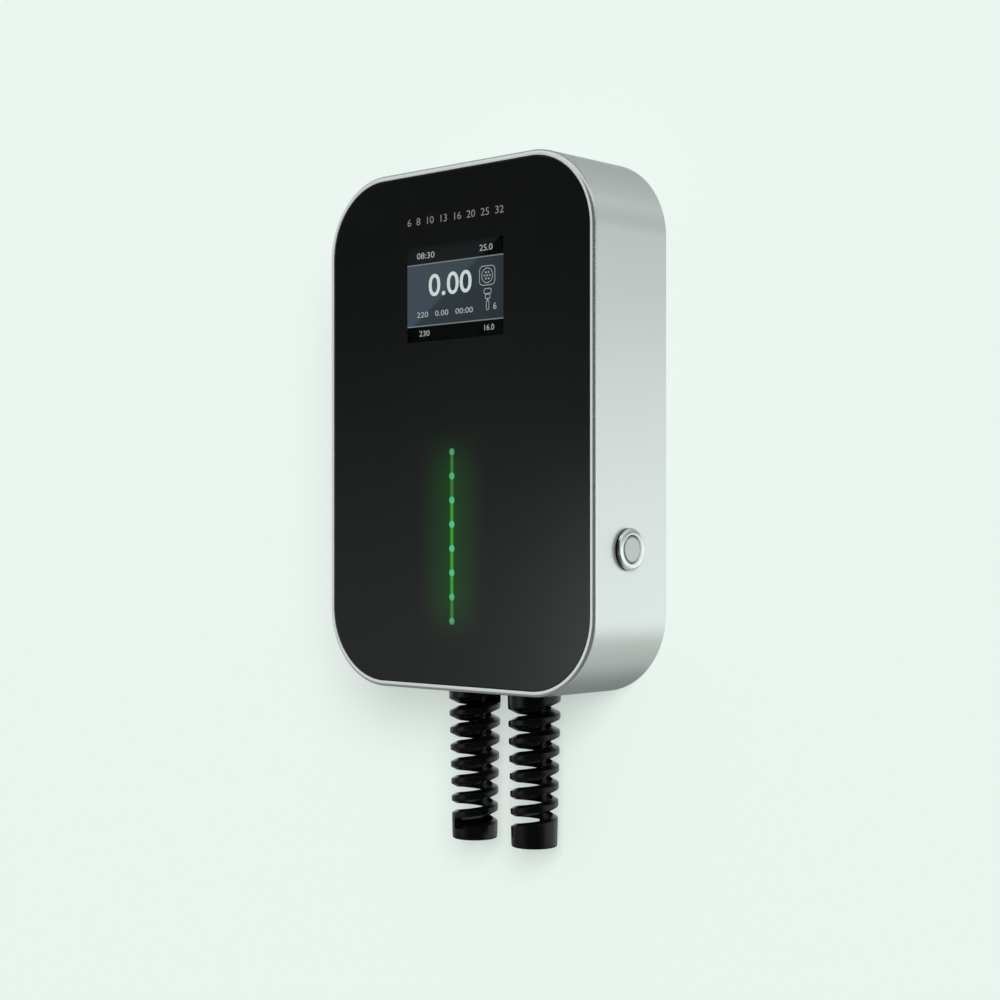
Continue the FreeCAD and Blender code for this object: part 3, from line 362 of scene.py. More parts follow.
GLAND_HOLE_R = 12.7 * MM
for middle in GLANDS.values():
    floor_middle = (middle.x, middle.y, (WALL - HEIGHT) / 2)
    cut(shell, round_cutter("gland_cutter", GLAND_HOLE_R, 2 * WALL, floor_middle, (0, 0, 0)))
smooth(shell)
print("shell", len(shell.data.polygons), "faces with its holes")

# %% [markdown]
# The glass is one flush sheet, 4 mm thick, with a fine broken edge that catches a thin line of
# light along the rim. It is the same rounded plate again, a quarter of a millimetre smaller
# than its pocket all round.

# %% Front glass
glass_low, glass_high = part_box("front_glass")
GLASS_W = glass_high.x - glass_low.x
GLASS_H = glass_high.z - glass_low.z
GLASS_CORNER = CORNER - (WIDTH - GLASS_W) / 2
GLASS_FRONT, GLASS_BACK = glass_low.y, glass_high.y
glass = rounded_plate(
    "glass_plate", GLASS_W, GLASS_H, GLASS_CORNER, GLASS_FRONT, GLASS_BACK, steps=40
)
round_outline(glass, GLASS_FRONT, GLASS_W, GLASS_H, GLASS_CORNER, FINE_EDGE, 3)
smooth(glass)
print("glass", round(GLASS_W, 4), round(GLASS_H, 4))

# %% [markdown]
# The figures on the display and the scale printed above it are text. Text is easiest to lay
# out as text, but it has to be a mesh before it gets its place, so each line is set, turned
# into a mesh, scaled into the box that it fills on the glass, and stood up to face the front.
# All of them are plain numbers.

# %% Lines of figures
LCD_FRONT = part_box("lcd_panel")[0].y
SCREEN_PLANE = (LCD_FRONT + GLASS_BACK) / 2
INK = 0.02 * MM


def figures(name, words, box, plane=SCREEN_PLANE, bold=0.0):
    """One line of numbers that fills a box, given in millimetres, on a plane across Y."""
    left, right, bottom, top = (value * MM for value in box)
    deselect()
    bpy.ops.object.text_add()
    line = bpy.context.object
    line.data.body = words
    line.data.offset = bold
    line.data.resolution_u = 4
    bpy.context.view_layer.update()
    size_x = (right - left) / line.dimensions.x
    size_y = (top - bottom) / line.dimensions.y
    line.data.extrude = INK / size_y
    bpy.ops.object.convert(target="MESH")
    line = named(name)
    points = [point.co for point in line.data.vertices]
    start = Vector((min(p.x for p in points), min(p.y for p in points), 0))
    for point in line.data.vertices:
        point.co -= start
    line.scale = (size_x, size_y, size_y)
    return lay(line, (left, plane, bottom), (math.pi / 2, 0, 0))


amps = figures("figures_large", "0.00", (-27.2, 11.4, 86.7, 101.4), bold=0.01)
small_signs = [
    figures("figures_row", "220   0.00   00:00", (-38, 12.5, 73.6, 77.2)),
    figures("figures_clock", "08:30", (-38, -22, 112.1, 116.1)),
    figures("figures_warmth", "25.0", (18.4, 29.6, 112.1, 116.1)),
    figures("figures_phase", "6", (30.3, 33, 74.2, 78.4)),
    figures("figures_volts", "230", (-35.9, -26.4, 61.2, 64.9)),
    figures("figures_rated", "16.0", (22.6, 31, 61.2, 64.9)),
]
SCALE_BOX = (-42.6, 43.0, 133.6, 138.4)
scale_print = figures(
    "printed_scale", "6  8  10  13  16  20  25  32", SCALE_BOX, GLASS_FRONT - INK
)
print("lines of figures", len(small_signs) + 2)

# %% [markdown]
# Beside the large figures the display has two small pictograms, a socket and a plug. They are
# flat line drawings. A rounded square, ring or bar is a thin plate from which a slightly
# smaller one is cut, so that only a stroke of even width is left.

# %% Pictograms
STROKE = 0.42 * MM
DRAW_FRONT, DRAW_BACK = SCREEN_PLANE - INK, SCREEN_PLANE + INK


def stroke_frame(name, width, height, corner, x, z):
    """Outline of a rounded rectangle as a flat stroke."""
    plate = rounded_plate(name, width, height, corner, DRAW_FRONT, DRAW_BACK, x, z, 8)
    hole = rounded_plate(
        "stroke_cutter", width - 2 * STROKE, height - 2 * STROKE,
        max(corner - STROKE, corner / 3), DRAW_FRONT - INK, DRAW_BACK + INK, x, z, 8,
    )
    cut(plate, hole)
    return plate


def joined(name, pieces):
    """Several small shapes as one piece."""
    deselect()
    for piece in pieces:
        piece.select_set(True)
    bpy.context.view_layer.objects.active = pieces[0]
    bpy.ops.object.join()
    return named(name)


socket_x, socket_z = 25.0 * MM, 96.1 * MM
SOCKET_PINS = 6
PIN_SIZE, PIN_CORNER, PIN_REACH = 1.2 * MM, 0.59 * MM, 2.3 * MM
socket_parts = [
    stroke_frame("socket_outline", 13.8 * MM, 12.6 * MM, 3.2 * MM, socket_x, socket_z),
    stroke_frame("socket_ring", 9.8 * MM, 9.8 * MM, 4.85 * MM, socket_x, socket_z),
]
for index in range(SOCKET_PINS + 1):
    reach = 0 if index == SOCKET_PINS else PIN_REACH
    angle = 2 * math.pi * index / SOCKET_PINS
    socket_parts.append(rounded_plate(
        "socket_pin", PIN_SIZE, PIN_SIZE, PIN_CORNER, DRAW_FRONT, DRAW_BACK,
        socket_x + reach * math.cos(angle), socket_z + reach * math.sin(angle), 6,
    ))
socket_sign = joined("socket_sign", socket_parts)
plug_x = 25.4 * MM
plug_parts = [
    stroke_frame("plug_head", 6.6 * MM, 3.6 * MM, 1.2 * MM, plug_x, 86.1 * MM),
    stroke_frame("plug_neck", 4.4 * MM, 3.2 * MM, 0.8 * MM, plug_x, 82.7 * MM),
    stroke_frame("plug_grip", 2.6 * MM, 6.0 * MM, 1.0 * MM, plug_x, 77.1 * MM),
    rounded_plate(
        "plug_stem", 0.9 * MM, 1.4 * MM, 0.3 * MM, DRAW_FRONT, DRAW_BACK, plug_x, 80.6 * MM, 4
    ),
]
plug_sign = joined("plug_sign", plug_parts)
small_signs += [socket_sign, plug_sign]
print("pictograms", len(socket_sign.data.polygons), len(plug_sign.data.polygons))

# %% [markdown]
# The push button is a ring with a sloping polished face, screwed through the wall, and a flat
# brushed cap that stands almost level with it. Both are turned parts, so both are lathe work.
# The fine edges are part of the profile and are rounded by a small bevel, because a real
# turned edge shows as a bright line. The ring keeps its barrel, as the solid model has it.

# %% Button ring
RING_H = 3.2 * MM
ring_low, ring_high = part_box("button_bezel")
RING_BACK = ring_high.x - RING_H
BARREL_END = ring_low.x - RING_BACK
RING_R = 13.2 * MM
BORE_R = 8.85 * MM
BARREL_R = 10.9 * MM
TAIL_R = 8 * MM
STEM_HOLE_R = 3.35 * MM
FLOOR_FRONT, FLOOR_BACK = -7.7 * MM, -9.7 * MM
ring = lathe("button_ring", [
    (BORE_R, FLOOR_FRONT),
    (BORE_R, 2.7 * MM),
    (9.3 * MM, RING_H),
    (9.9 * MM, RING_H),
    (11.6 * MM, 2.75 * MM),
    (12.7 * MM, 2.1 * MM),
    (RING_R, 1.4 * MM),
    (RING_R, 0),
    (BARREL_R, 0),
    (BARREL_R, BARREL_END),
    (TAIL_R, BARREL_END),
    (TAIL_R, FLOOR_BACK),
    (STEM_HOLE_R, FLOOR_BACK),
    (STEM_HOLE_R, FLOOR_FRONT),
])
soften(ring, 0.18 * MM, 2, 12)
lay(ring, (RING_BACK, BUTTON.y, BUTTON.z), SIDE_TURN)
smooth(ring, 40)
print("ring", [round(c / MM, 2) for c in ring.dimensions])

# %% [markdown]
# The cap is a disc on a stem, turned in one piece with a sloping edge. Its profile starts and
# ends on the axis, so it is left open there, and the spin closes it.

# %% Button cap
CAP_R, CAP_T, CAP_EDGE = 8.5 * MM, 4 * MM, 0.9 * MM
STEM_R = 3 * MM
STEM_END = cap_low.x - BUTTON.x
cap = lathe("button_cap_face", [
    (0, STEM_END),
    (STEM_R, STEM_END),
    (STEM_R, -CAP_T),
    (CAP_R, -CAP_T),
    (CAP_R, -CAP_EDGE),
    (CAP_R - CAP_EDGE, 0),
    (0, 0),
], closed=False)
soften(cap, 0.12 * MM, 2, 25)
lay(cap, BUTTON, SIDE_TURN)
smooth(cap, 40)
print("cap", [round(c / MM, 2) for c in cap.dimensions])

# %% [markdown]
# Each cable gland is one black moulding: a threaded neck through the floor, a collar, a slot
# that winds down for seven turns so that the cable can bend only gently, and a plain end
# ring. Cutting the slot out of a sleeve leaves ragged faces that don't take a bevel. So the
# sleeve is seen as one ribbon, wound for one turn more than the slot by a Screw modifier. The
# slot is narrow at the bore and wide outside, so the section of the ribbon is a trapezoid. Its
# corners are rounded.

# %% Ribbon of a gland
TOP_R = 17.5 * MM
BORE_TOP = 10.6 * MM
GLAND_L = 101 * MM
PITCH = 11.4 * MM
SLOT_TOP = -7.5 * MM
SLOT_OUT, SLOT_IN = 7.8 * MM, 1.2 * MM
BAND_OUT = PITCH - SLOT_OUT
BAND_IN = PITCH - SLOT_IN
SLEEVE_WALL = TOP_R - BORE_TOP
MIDDLE_R = (TOP_R + BORE_TOP) / 2
TURN_STEPS = 70
CORNER_STEPS = 4
CORNER_ROUND = 0.7 * MM


def ribbon(name, turns, top):
    """Section that is wound up from the lower end; the slot winds one turn less."""
    start_z = top - PITCH * (turns - 0.5)
    deselect()
    bpy.ops.mesh.primitive_plane_add(
        size=1, location=(MIDDLE_R, 0, start_z), rotation=(math.pi / 2, 0, 0)
    )
    piece = bpy.context.object
    piece.scale = (SLEEVE_WALL, BAND_IN, 1)
    piece = named(name)
    pick(piece, "VERT", lambda place, normal: place.x > MIDDLE_R)
    bpy.ops.transform.resize(value=(1, 1, BAND_OUT / BAND_IN))
    take_all()
    bpy.ops.mesh.bevel(offset=CORNER_ROUND, segments=CORNER_STEPS, affect="VERTICES")
    take_all()
    bpy.ops.mesh.delete(type="ONLY_FACE")
    close_edit()
    apply_modifier(piece, "SCREW", {
        "angle": 2 * math.pi * turns,
        "screw_offset": PITCH * turns,
        "steps": round(TURN_STEPS * turns),
        "render_steps": round(TURN_STEPS * turns),
        "axis": "Z",
        "use_smooth_shade": True,
    })
    return piece


print("section", round(BAND_OUT / MM, 2), "to", round(BAND_IN / MM, 2), "mm broad")

# %% [markdown]
# Wound like this the ribbon ends in open spirals. The real one ends in a flat collar and a flat
# ring, so the upper edge of its last turn is lifted to the top and the lower edge of its first
# turn is dropped to the end. The points of the ribbon follow each other step by step, so the
# turn of a point is known from its number. Where an edge jumps, one step is pushed onto its
# neighbour, which gives the slot its square end. The wall also gets thinner downwards: points
# near the bore are moved outwards and closer to the middle of the band, which keeps the
# slope of the slot's sides.

# %% Flat ends of a ribbon
END_ROUND = 1.5 * MM
THINNER = 3.4 * MM


def flatten_ends(piece, turns, top):
    """Makes the last turn reach the flat top and the first turn the flat end."""
    section = 4 * (CORNER_STEPS + 1)
    last = round(TURN_STEPS * turns)
    step_angle = 2 * math.pi / TURN_STEPS
    for index, point in enumerate(piece.data.vertices):
        step = index // section
        onto = {TURN_STEPS - 1: 1, last - TURN_STEPS + 1: -1}.get(step, 0)
        point.co.rotate(Euler((0, 0, onto * step_angle)))
        point.co.z += onto * PITCH / TURN_STEPS
        middle = top - PITCH * (turns - 0.5) + PITCH * (step + onto) / TURN_STEPS
        radius = math.hypot(point.co.x, point.co.y)
        inward = (TOP_R - radius) / SLEEVE_WALL
        half = (BAND_OUT + (BAND_IN - BAND_OUT) * inward) / 2
        widen = THINNER * inward * (1 - step / last)
        narrow = 1 - widen / SLEEVE_WALL * (BAND_IN - BAND_OUT) / 2 / half
        side = 1 + widen / radius
        point.co = (point.co.x * side, point.co.y * side, middle + (point.co.z - middle) * narrow)
        half *= narrow
        if step > last - TURN_STEPS and point.co.z > middle:
            point.co.z = min(point.co.z - middle - half, 0)
        elif step < TURN_STEPS and point.co.z < middle:
            rise = max(point.co.z - middle + half, 0)
            if radius > MIDDLE_R:
                grow = END_ROUND / CORNER_ROUND
                side = (TOP_R - (TOP_R - radius) * grow) / radius
                point.co = (point.co.x * side, point.co.y * side, rise * grow - GLAND_L)
            else:
                point.co.z = rise - GLAND_L


def close_ends(piece):
    """Puts a face on both ends of the ribbon."""
    alone(piece)
    open_edit()
    bpy.ops.mesh.select_mode(type="EDGE")
    bpy.ops.mesh.select_all(action="DESELECT")
    bpy.ops.mesh.select_non_manifold(extend=False)
    bpy.ops.mesh.edge_face_add()
    take_all()
    bpy.ops.mesh.normals_make_consistent(inside=False)
    close_edit()


print("wall thinner by", round(THINNER / MM, 2), "mm at the foot")

# %% [markdown]
# The two glands are the same moulding, screwed in to different angles. The slot of the left one
# starts a little higher and winds almost half a turn further. The neck and the cone inside the
# collar are lathe work and are joined on, and a Taper makes the whole sleeve slimmer towards
# its end.

# %% Two glands
GLAND_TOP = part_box("supply_spiral_gland")[0].z + GLAND_L
NECK_BORE, NECK_R, CONE_R = 9.6 * MM, 12.4 * MM, 13.2 * MM
NECK_TOP, CONE_TOP = 17.2 * MM, -0.5 * MM
NECK = [
    (NECK_BORE, NECK_TOP),
    (NECK_R, NECK_TOP),
    (NECK_R, CONE_TOP),
    (CONE_R, CONE_TOP),
    (CONE_R, -3 * MM),
    (NECK_BORE, -1.5 * MM),
]
TAPER = 0.167
SLOT_TURNS = {"supply": 7.42, "lead": 7.0}
SLOT_START = {"supply": SLOT_TOP + 0.12 * PITCH, "lead": SLOT_TOP}
TOP_ANGLE = {"supply": 41, "lead": 115}
gland_pieces = {}
for name, middle in GLANDS.items():
    turns = SLOT_TURNS[name] + 1
    sleeve = ribbon(name + "_sleeve", turns, SLOT_START[name])
    flatten_ends(sleeve, turns, SLOT_START[name])
    close_ends(sleeve)
    gland = joined(name + "_gland", [sleeve, lathe("gland_neck", NECK)])
    apply_modifier(gland, "SIMPLE_DEFORM", {
        "deform_method": "TAPER",
        "deform_axis": "Z",
        "factor": TAPER,
    })
    turn = TOP_ANGLE[name] - 360 * SLOT_TURNS[name]
    lay(gland, (middle.x, middle.y, GLAND_TOP), (0, 0, math.radians(turn)))
    smooth(gland, 40)
    gland_pieces[name] = gland
    print(gland.name, [round(c / MM, 2) for c in gland.dimensions], len(gland.data.polygons))

# %% [markdown]
# The back is seldom seen, but it is where the box meets the wall: a flush cover with a pressed
# tray, eight countersunk screws, and a folded bracket whose two hooks carry the box. Their
# solids have the right shape but razor edges. A copy of each is merged, its flat triangles are
# dissolved into whole faces, and its edges are rounded by a bevel.

# %% Cover and bracket with rounded edges
SHEET_EDGE = 0.4 * MM


def solid_copy(node, name):
    """Free copy of a solid with merged points."""
    piece = copy_of(frame["nodes"][node], name)
    piece.parent = None
    for key in list(piece.keys()):
        del piece[key]
    open_all(piece)
    bpy.ops.mesh.remove_doubles(threshold=0.002 * MM)
    close_edit()
    return piece


def softened_copy(node, name, width):
    """Copy of a solid with whole faces and rounded edges."""
    piece = solid_copy(node, name)
    open_all(piece)
    bpy.ops.mesh.dissolve_limited(angle_limit=math.radians(1))
    close_edit()
    soften(piece, width, 2, 40)
    smooth(piece)
    return piece


cover = softened_copy("rear_cover", "back_cover", SHEET_EDGE)
bracket = softened_copy("wall_bracket", "hook_bracket", SHEET_EDGE)
print("cover", len(cover.data.polygons), "bracket", len(bracket.data.polygons))

# %% [markdown]
# A steel coil behind the cap pushes it out again, and gets shorter while the cap is pressed.
# The solid model holds it at rest only. So a copy of that coil is merged and shaded smooth.

# %% Spring behind the cap
spring = solid_copy("button_spring", "button_coil")
bpy.ops.object.shade_smooth_by_angle(angle=math.radians(40))

# %% [markdown]
# Eight countersunk screws hold the cover. One is turned on the lathe with its recess, and the
# other seven are copies that are moved to their places.

# %% Countersunk screws
HEAD_R, HEAD_H = 3.9 * MM, 1.95 * MM
SHANK_R, SCREW_L = 1.95 * MM, 14 * MM
HEXAGON_R, HEXAGON_DEPTH = 1.45 * MM, 1.5 * MM
cover_screw = lathe("cover_screw", [
    (0, -SCREW_L),
    (SHANK_R, -SCREW_L),
    (SHANK_R, -HEAD_H),
    (HEAD_R, -0.1 * MM),
    (HEAD_R - 0.15 * MM, 0),
    (0, 0),
], steps=48, closed=False)
deselect()
bpy.ops.mesh.primitive_cylinder_add(
    vertices=6, radius=HEXAGON_R, depth=2 * HEXAGON_DEPTH, location=(0, 0, 0)
)
cut(cover_screw, named("hexagon_cutter"))
smooth(cover_screw)
BOSS_INSET = 8 * MM
side_x = WIDTH / 2 - BOSS_INSET
screw_places = [
    (sx * side_x, sz * (HEIGHT / 2 - CORNER)) for sx in (-1, 1) for sz in (-1, 0, 1)
]
screw_places += [(0, sz * (HEIGHT / 2 - BOSS_INSET)) for sz in (-1, 1)]
screws = []
for index, (x, z) in enumerate(screw_places):
    screw = copy_of(cover_screw, "cover_screw_" + str(index + 1))
    screws.append(lay(screw, (x, 0, z), (-math.pi / 2, 0, 0)))
bpy.data.objects.remove(cover_screw)
print("cover screws", len(screws))

# %% [markdown]
# Finishes are built from nodes. Written link by link, even a simple pattern fills a page. So a
# small class wraps a socket and lets ordinary arithmetic on it add the Math nodes. A second
# class is one material. A single method of it adds any other node: it takes the type, the
# settings, which are set first, and the values or links of the sockets.

# %% Arithmetic on sockets
def sign(operation, turned=False):
    """Method of a signal that adds one Math node; turned puts the other value first."""
    if turned:
        return lambda self, other: self.maths(operation, other, self)
    return lambda self, other=0.0: self.maths(operation, self, other)


class Signal:
    """A node's output that can be used in plain arithmetic."""

    def __init__(self, finish, socket):
        self.finish = finish
        self.socket = socket

    def maths(self, operation, first, second):
        sockets = {0: first, 1: second}
        return self.finish.node("ShaderNodeMath", {"operation": operation}, sockets)

    __add__, __radd__ = sign("ADD"), sign("ADD", turned=True)
    __sub__, __rsub__ = sign("SUBTRACT"), sign("SUBTRACT", turned=True)
    __mul__, __rmul__ = sign("MULTIPLY"), sign("MULTIPLY", turned=True)
    __truediv__, __pow__ = sign("DIVIDE"), sign("POWER")
    __abs__, rounded, fraction = sign("ABSOLUTE"), sign("ROUND"), sign("FRACT")
    least, most = sign("MINIMUM"), sign("MAXIMUM")

    def ramp(self, start, end, low=0.0, high=1.0):
        """Goes smoothly from low to high while the signal goes from start to end."""
        return self.finish.node("ShaderNodeMapRange", {"interpolation_type": "SMOOTHSTEP"}, {
            "Value": self, "From Min": start, "From Max": end, "To Min": low, "To Max": high,
        })


FINISHES = {}


class Finish:
    """One material, built from nodes."""

    def __init__(self, name):
        self.name = name
        self.material = bpy.data.materials.new(name)
        self.material.use_nodes = True
        self.nodes = self.material.node_tree.nodes
        self.links = self.material.node_tree.links
        self.nodes.clear()

    def node(self, kind, settings=None, sockets=None, output=0):
        """Adds a node: first its settings, then the values or links of its sockets."""
        made = self.nodes.new(kind)
        for key, value in (settings or {}).items():
            setattr(made, key, value)
        for key, value in (sockets or {}).items():
            if isinstance(value, Signal):
                self.links.new(value.socket, made.inputs[key])
            elif isinstance(value, tuple) and len(value) == 3 and made.inputs[key].type == "RGBA":
                made.inputs[key].default_value = (*value, 1)
            else:
                made.inputs[key].default_value = value
        return Signal(self, made.outputs[output]) if len(made.outputs) else None

    def place(self):
        """The object's own coordinates, in metres."""
        return self.node("ShaderNodeTexCoord", output="Object")

    def parts(self, vector):
        """X, Y and Z of a vector as three signals."""
        split = self.node("ShaderNodeSeparateXYZ", None, {0: vector})
        outputs = split.socket.node.outputs
        return [Signal(self, outputs[index]) for index in range(3)]

    def xyz(self):
        """The object's own X, Y and Z as three signals."""
        return self.parts(self.place())

    def stretched(self, x, y, z):
        """Object coordinates that are scaled on each axis."""
        return self.node("ShaderNodeMapping", None, {"Vector": self.place(), "Scale": (x, y, z)})

    def grain(self, size, detail=2.0, vector=None):
        """Soft noise whose spots are about a size wide."""
        return self.node("ShaderNodeTexNoise", {"noise_dimensions": "3D"}, {
            "Vector": vector or self.place(),
            "Scale": 1 / size,
            "Detail": detail,
        })

    def blend(self, amount, first, second):
        """Mixes two colours."""
        return self.node("ShaderNodeMix", {"data_type": "RGBA"}, {
            0: amount, 6: first, 7: second,
        }, output=2)

    def bump(self, height, distance, strength):
        """Relief of a given height in metres."""
        return self.node("ShaderNodeBump", None, {
            "Height": height, "Distance": distance, "Strength": strength,
        })

    def surface(self, sockets):
        """The main shader."""
        return self.node("ShaderNodeBsdfPrincipled", None, sockets)

    def done(self, shader):
        """Ends the material with a shader and keeps it under its name."""
        self.node("ShaderNodeOutputMaterial", None, {"Surface": shader})
        FINISHES[self.name] = self.material
        return self.material

    def coat(self, sockets):
        """Ends the material with the main shader alone."""
        return self.done(self.surface(sockets))


print("shader helpers ready")

# %% [markdown]
# The housing has a satin silver finish with the faint sparkle of a fine metal flake coat. Plain
# grey would look like plastic, and full metal would mirror the room. So it is mostly metal
# with a soft, slightly uneven roughness and a very fine relief. The flat lip beside the glass
# is less metallic, and the rounded edge outside it is more metallic and smoother.

# %% Silver coat
def silver_coat():
    finish = Finish("housing_silver")
    flake = finish.grain(0.35 * MM, 1)
    cloud = finish.grain(60 * MM, 2)
    colour = finish.blend(flake * 0.5 + cloud * 0.5, (0.70, 0.735, 0.72), (0.78, 0.81, 0.795))
    depth = finish.xyz()[1] - FRONT
    lip = depth.ramp(0.15 * MM, 0.05 * MM)
    edge = depth.ramp(1.1 * EDGE, 0.8 * EDGE) * (1 - lip)
    finish.coat({
        "Base Color": colour,
        "Metallic": 0.72 - lip * 0.45 + edge * 0.18,
        "Roughness": 0.32 - edge * 0.1 + flake * 0.06 + cloud * 0.03,
        "Normal": finish.bump(flake, 0.01 * MM, 0.5),
    })


silver_coat()
print("silver coat", len(FINISHES["housing_silver"].node_tree.nodes), "nodes")

# %% [markdown]
# The glass is printed black on its back, with a clear window over the display. A translucent
# strip in the print lets green light through: a thin line with eight round dots, and a soft
# glow around it where the light spreads in the glass. The window is a mask that fades the
# black shader into a clear one, and the light is a colour of emission, both worked out from
# the distance to the middle of the window and of the line. One stretch of the line is
# brighter than the rest, and the dots get duller towards its ends.

# %% Printed glass
VIEW_MARGIN = 5 * MM
VIEW_HALF_W = lcd_w / 2 - VIEW_MARGIN
VIEW_HALF_H = lcd_h / 2 - VIEW_MARGIN
DOTS = 8
chips_low, chips_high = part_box("led_chips")
HALF_CHIP = 1.5 * MM
LINE_TOP = chips_high.z - HALF_CHIP
LINE_END = chips_low.z + HALF_CHIP
DOT_PITCH = (LINE_TOP - LINE_END) / (DOTS - 1)


def printed_glass():
    finish = Finish("glass_black")
    x, y, z = finish.xyz()
    outside_x = abs(x - lcd_x) - VIEW_HALF_W
    outside_z = abs(z - lcd_z) - VIEW_HALF_H
    behind = y.ramp(GLASS_FRONT + MM, GLASS_BACK - MM, 0.0, 5 * MM)
    window = (outside_x.most(outside_z) - behind).ramp(0.08 * MM, -0.08 * MM)

    aside = x - guide_x
    past_end = (z - LINE_TOP).most(LINE_END - z).most(0.0)
    from_line = (aside * aside + past_end * past_end) ** 0.5
    step = (z - LINE_END) / DOT_PITCH
    nearest = step.rounded().most(0.0).least(DOTS - 1.0)
    up_dot = z - (nearest * DOT_PITCH + LINE_END)
    from_dot = (aside * aside + up_dot * up_dot) ** 0.5
    from_middle = abs(z - (LINE_TOP + LINE_END) / 2)
    half = (LINE_TOP - LINE_END) / 2
    lively = 1 - (from_middle / half) ** 2.0 * 0.44
    charged = abs(z - LINE_TOP + 4 * DOT_PITCH).ramp(2.15 * DOT_PITCH, 1.9 * DOT_PITCH)

    line = from_line.ramp(2.1 * MM, 0.5 * MM)
    dot = from_dot.ramp(2.6 * MM, 2.0 * MM)
    glow = abs(aside).ramp(32 * MM, 0.0) * from_middle.ramp(half + 18 * MM, half - 20 * MM)
    lit = finish.blend(charged, (0.028, 0.175, 0.018), (0.022, 0.315, 0.011))
    colour = finish.blend(glow, (0.0, 0.0, 0.0), (0.0004, 0.031, 0.0004))
    colour = finish.blend(line, colour, lit)
    colour = finish.blend(dot * lively, colour, (0.064, 0.51, 0.195))
    smear = finish.grain(30 * MM, 3)
    black = finish.surface({
        "Base Color": finish.blend(smear, (0.003, 0.0035, 0.0033), (0.0042, 0.0048, 0.0045)),
        "Roughness": 0.07 + smear * 0.03,
        "IOR": 1.5,
        "Emission Color": colour,
        "Emission Strength": 1.0,
    })
    facing = finish.node("ShaderNodeLayerWeight", None, {"Blend": 0.5}, output="Facing")
    clear = finish.node("ShaderNodeMixShader", None, {
        0: facing ** 5.0 * 0.5 + 0.002,
        1: finish.node("ShaderNodeBsdfTransparent", None, {"Color": (0.93, 0.95, 0.95)}),
        2: finish.node("ShaderNodeBsdfGlossy", None, {"Roughness": 0.05}),
    })
    finish.done(finish.node("ShaderNodeMixShader", None, {0: window, 1: black, 2: clear}))


printed_glass()
print("light line from", round(LINE_TOP, 4), "to", round(LINE_END, 4))

# %% [markdown]
# The display is lit from behind. Its picture is a dark band above, a black one below and a
# slate field between two thin pale lines. A slanting edge runs across it, and what lies right
# of it is darker. All this is drawn in the emission colour of the panel, from distances in
# the window. The large figures shine more brightly than the small ones and the pictograms,
# and the scale above the display is plain grey print.

# %% Lit panel
FIELD_TOP = 108.4 * MM
FIELD_END = 68.0 * MM


def lit_panel():
    finish = Finish("lcd_dark")
    x, y, z = finish.xyz()
    across = (x / VIEW_HALF_W + 1) * 0.5
    height = (z - FIELD_END) / (FIELD_TOP - FIELD_END)
    slant = across - height * 0.69
    right = slant.ramp(-0.02, 0.05)
    field = finish.blend(right * 0.6 + across * 0.4, (0.058, 0.075, 0.095), (0.027, 0.036, 0.044))
    field = finish.blend(height.ramp(0.8, 0.0) * right * 0.3, field, (0.02, 0.026, 0.024))
    inside = (z - FIELD_END).least(FIELD_TOP - z)
    upper = height.ramp(0.4, 0.6) * (1 - slant.ramp(0.0, 0.07))
    band = finish.blend(upper, (0.0, 0.0, 0.0), (0.009, 0.0115, 0.012))
    picture = finish.blend(inside.ramp(-0.1 * MM, 0.1 * MM), band, field)
    rule = abs(inside).ramp(0.5 * MM, 0.25 * MM)
    picture = finish.blend(rule, picture, (0.2, 0.225, 0.235))
    finish.coat({
        "Base Color": (0.003, 0.003, 0.003),
        "Specular IOR Level": 0.05,
        "Roughness": 0.3 + finish.grain(0.5 * MM) * 0.1,
        "Emission Color": picture,
        "Emission Strength": 1.0,
    })


def lit_figures(name, dark, pale):
    finish = Finish(name)
    glow = finish.blend(finish.grain(4 * MM), dark, pale)
    finish.coat({
        "Base Color": (0.1, 0.1, 0.1),
        "Roughness": 0.5,
        "Emission Color": glow,
        "Emission Strength": 1.0,
    })


def grey_print():
    finish = Finish("printed_grey")
    tone = finish.blend(finish.grain(3 * MM), (0.19, 0.19, 0.19), (0.24, 0.24, 0.24))
    finish.coat({"Base Color": tone, "Roughness": 0.45 + finish.grain(2 * MM) * 0.1})


lit_panel()
lit_figures("figures_bright", (0.52, 0.58, 0.57), (0.64, 0.7, 0.68))
lit_figures("figures_dim", (0.31, 0.345, 0.34), (0.37, 0.41, 0.40))
grey_print()
print("display finishes ready")

# %% [markdown]
# Turned and brushed metal both come from fine scratches that run one way. On the cap they run
# up and down, because it was brushed on a belt, so noise is stretched along Z. On the ring
# they run round its axis, as a lathe tool leaves them, so noise is read from the radius. The
# rim of the cap is a darker grey, which is painted shade on its sloping edge. The side wall of
# the ring is nearly black, which is a painted shadow for the dark gap where the ring meets the
# housing. The edge of its bore is duller than its face.

# %% Metals of the button
def off_axis(finish):
    """X, and the distance from the axis of the button."""
    x, y, z = finish.xyz()
    up = z - BUTTON.z
    side = y - BUTTON.y
    return x, (up * up + side * side) ** 0.5


def brushed_cap():
    finish = Finish("cap_metal")
    lines = finish.grain(0.12 * MM, 3, finish.stretched(1, 1, 0.02))
    wide = finish.grain(0.9 * MM, 2, finish.stretched(1, 1, 0.03))
    radius = off_axis(finish)[1]
    face = finish.blend(lines * 0.6 + wide * 0.4, (0.41, 0.43, 0.42), (0.7, 0.72, 0.71))
    # Painted shade: the cap is coloured a darker grey from about 7 mm out, over its sloping rim.
    finish.coat({
        "Base Color": finish.blend(radius.ramp(6.9 * MM, 7.2 * MM), face, (0.37, 0.385, 0.38)),
        "Metallic": 0.75,
        "Roughness": 0.32 + lines * 0.16,
        "Normal": finish.bump(lines, 0.01 * MM, 0.6),
    })


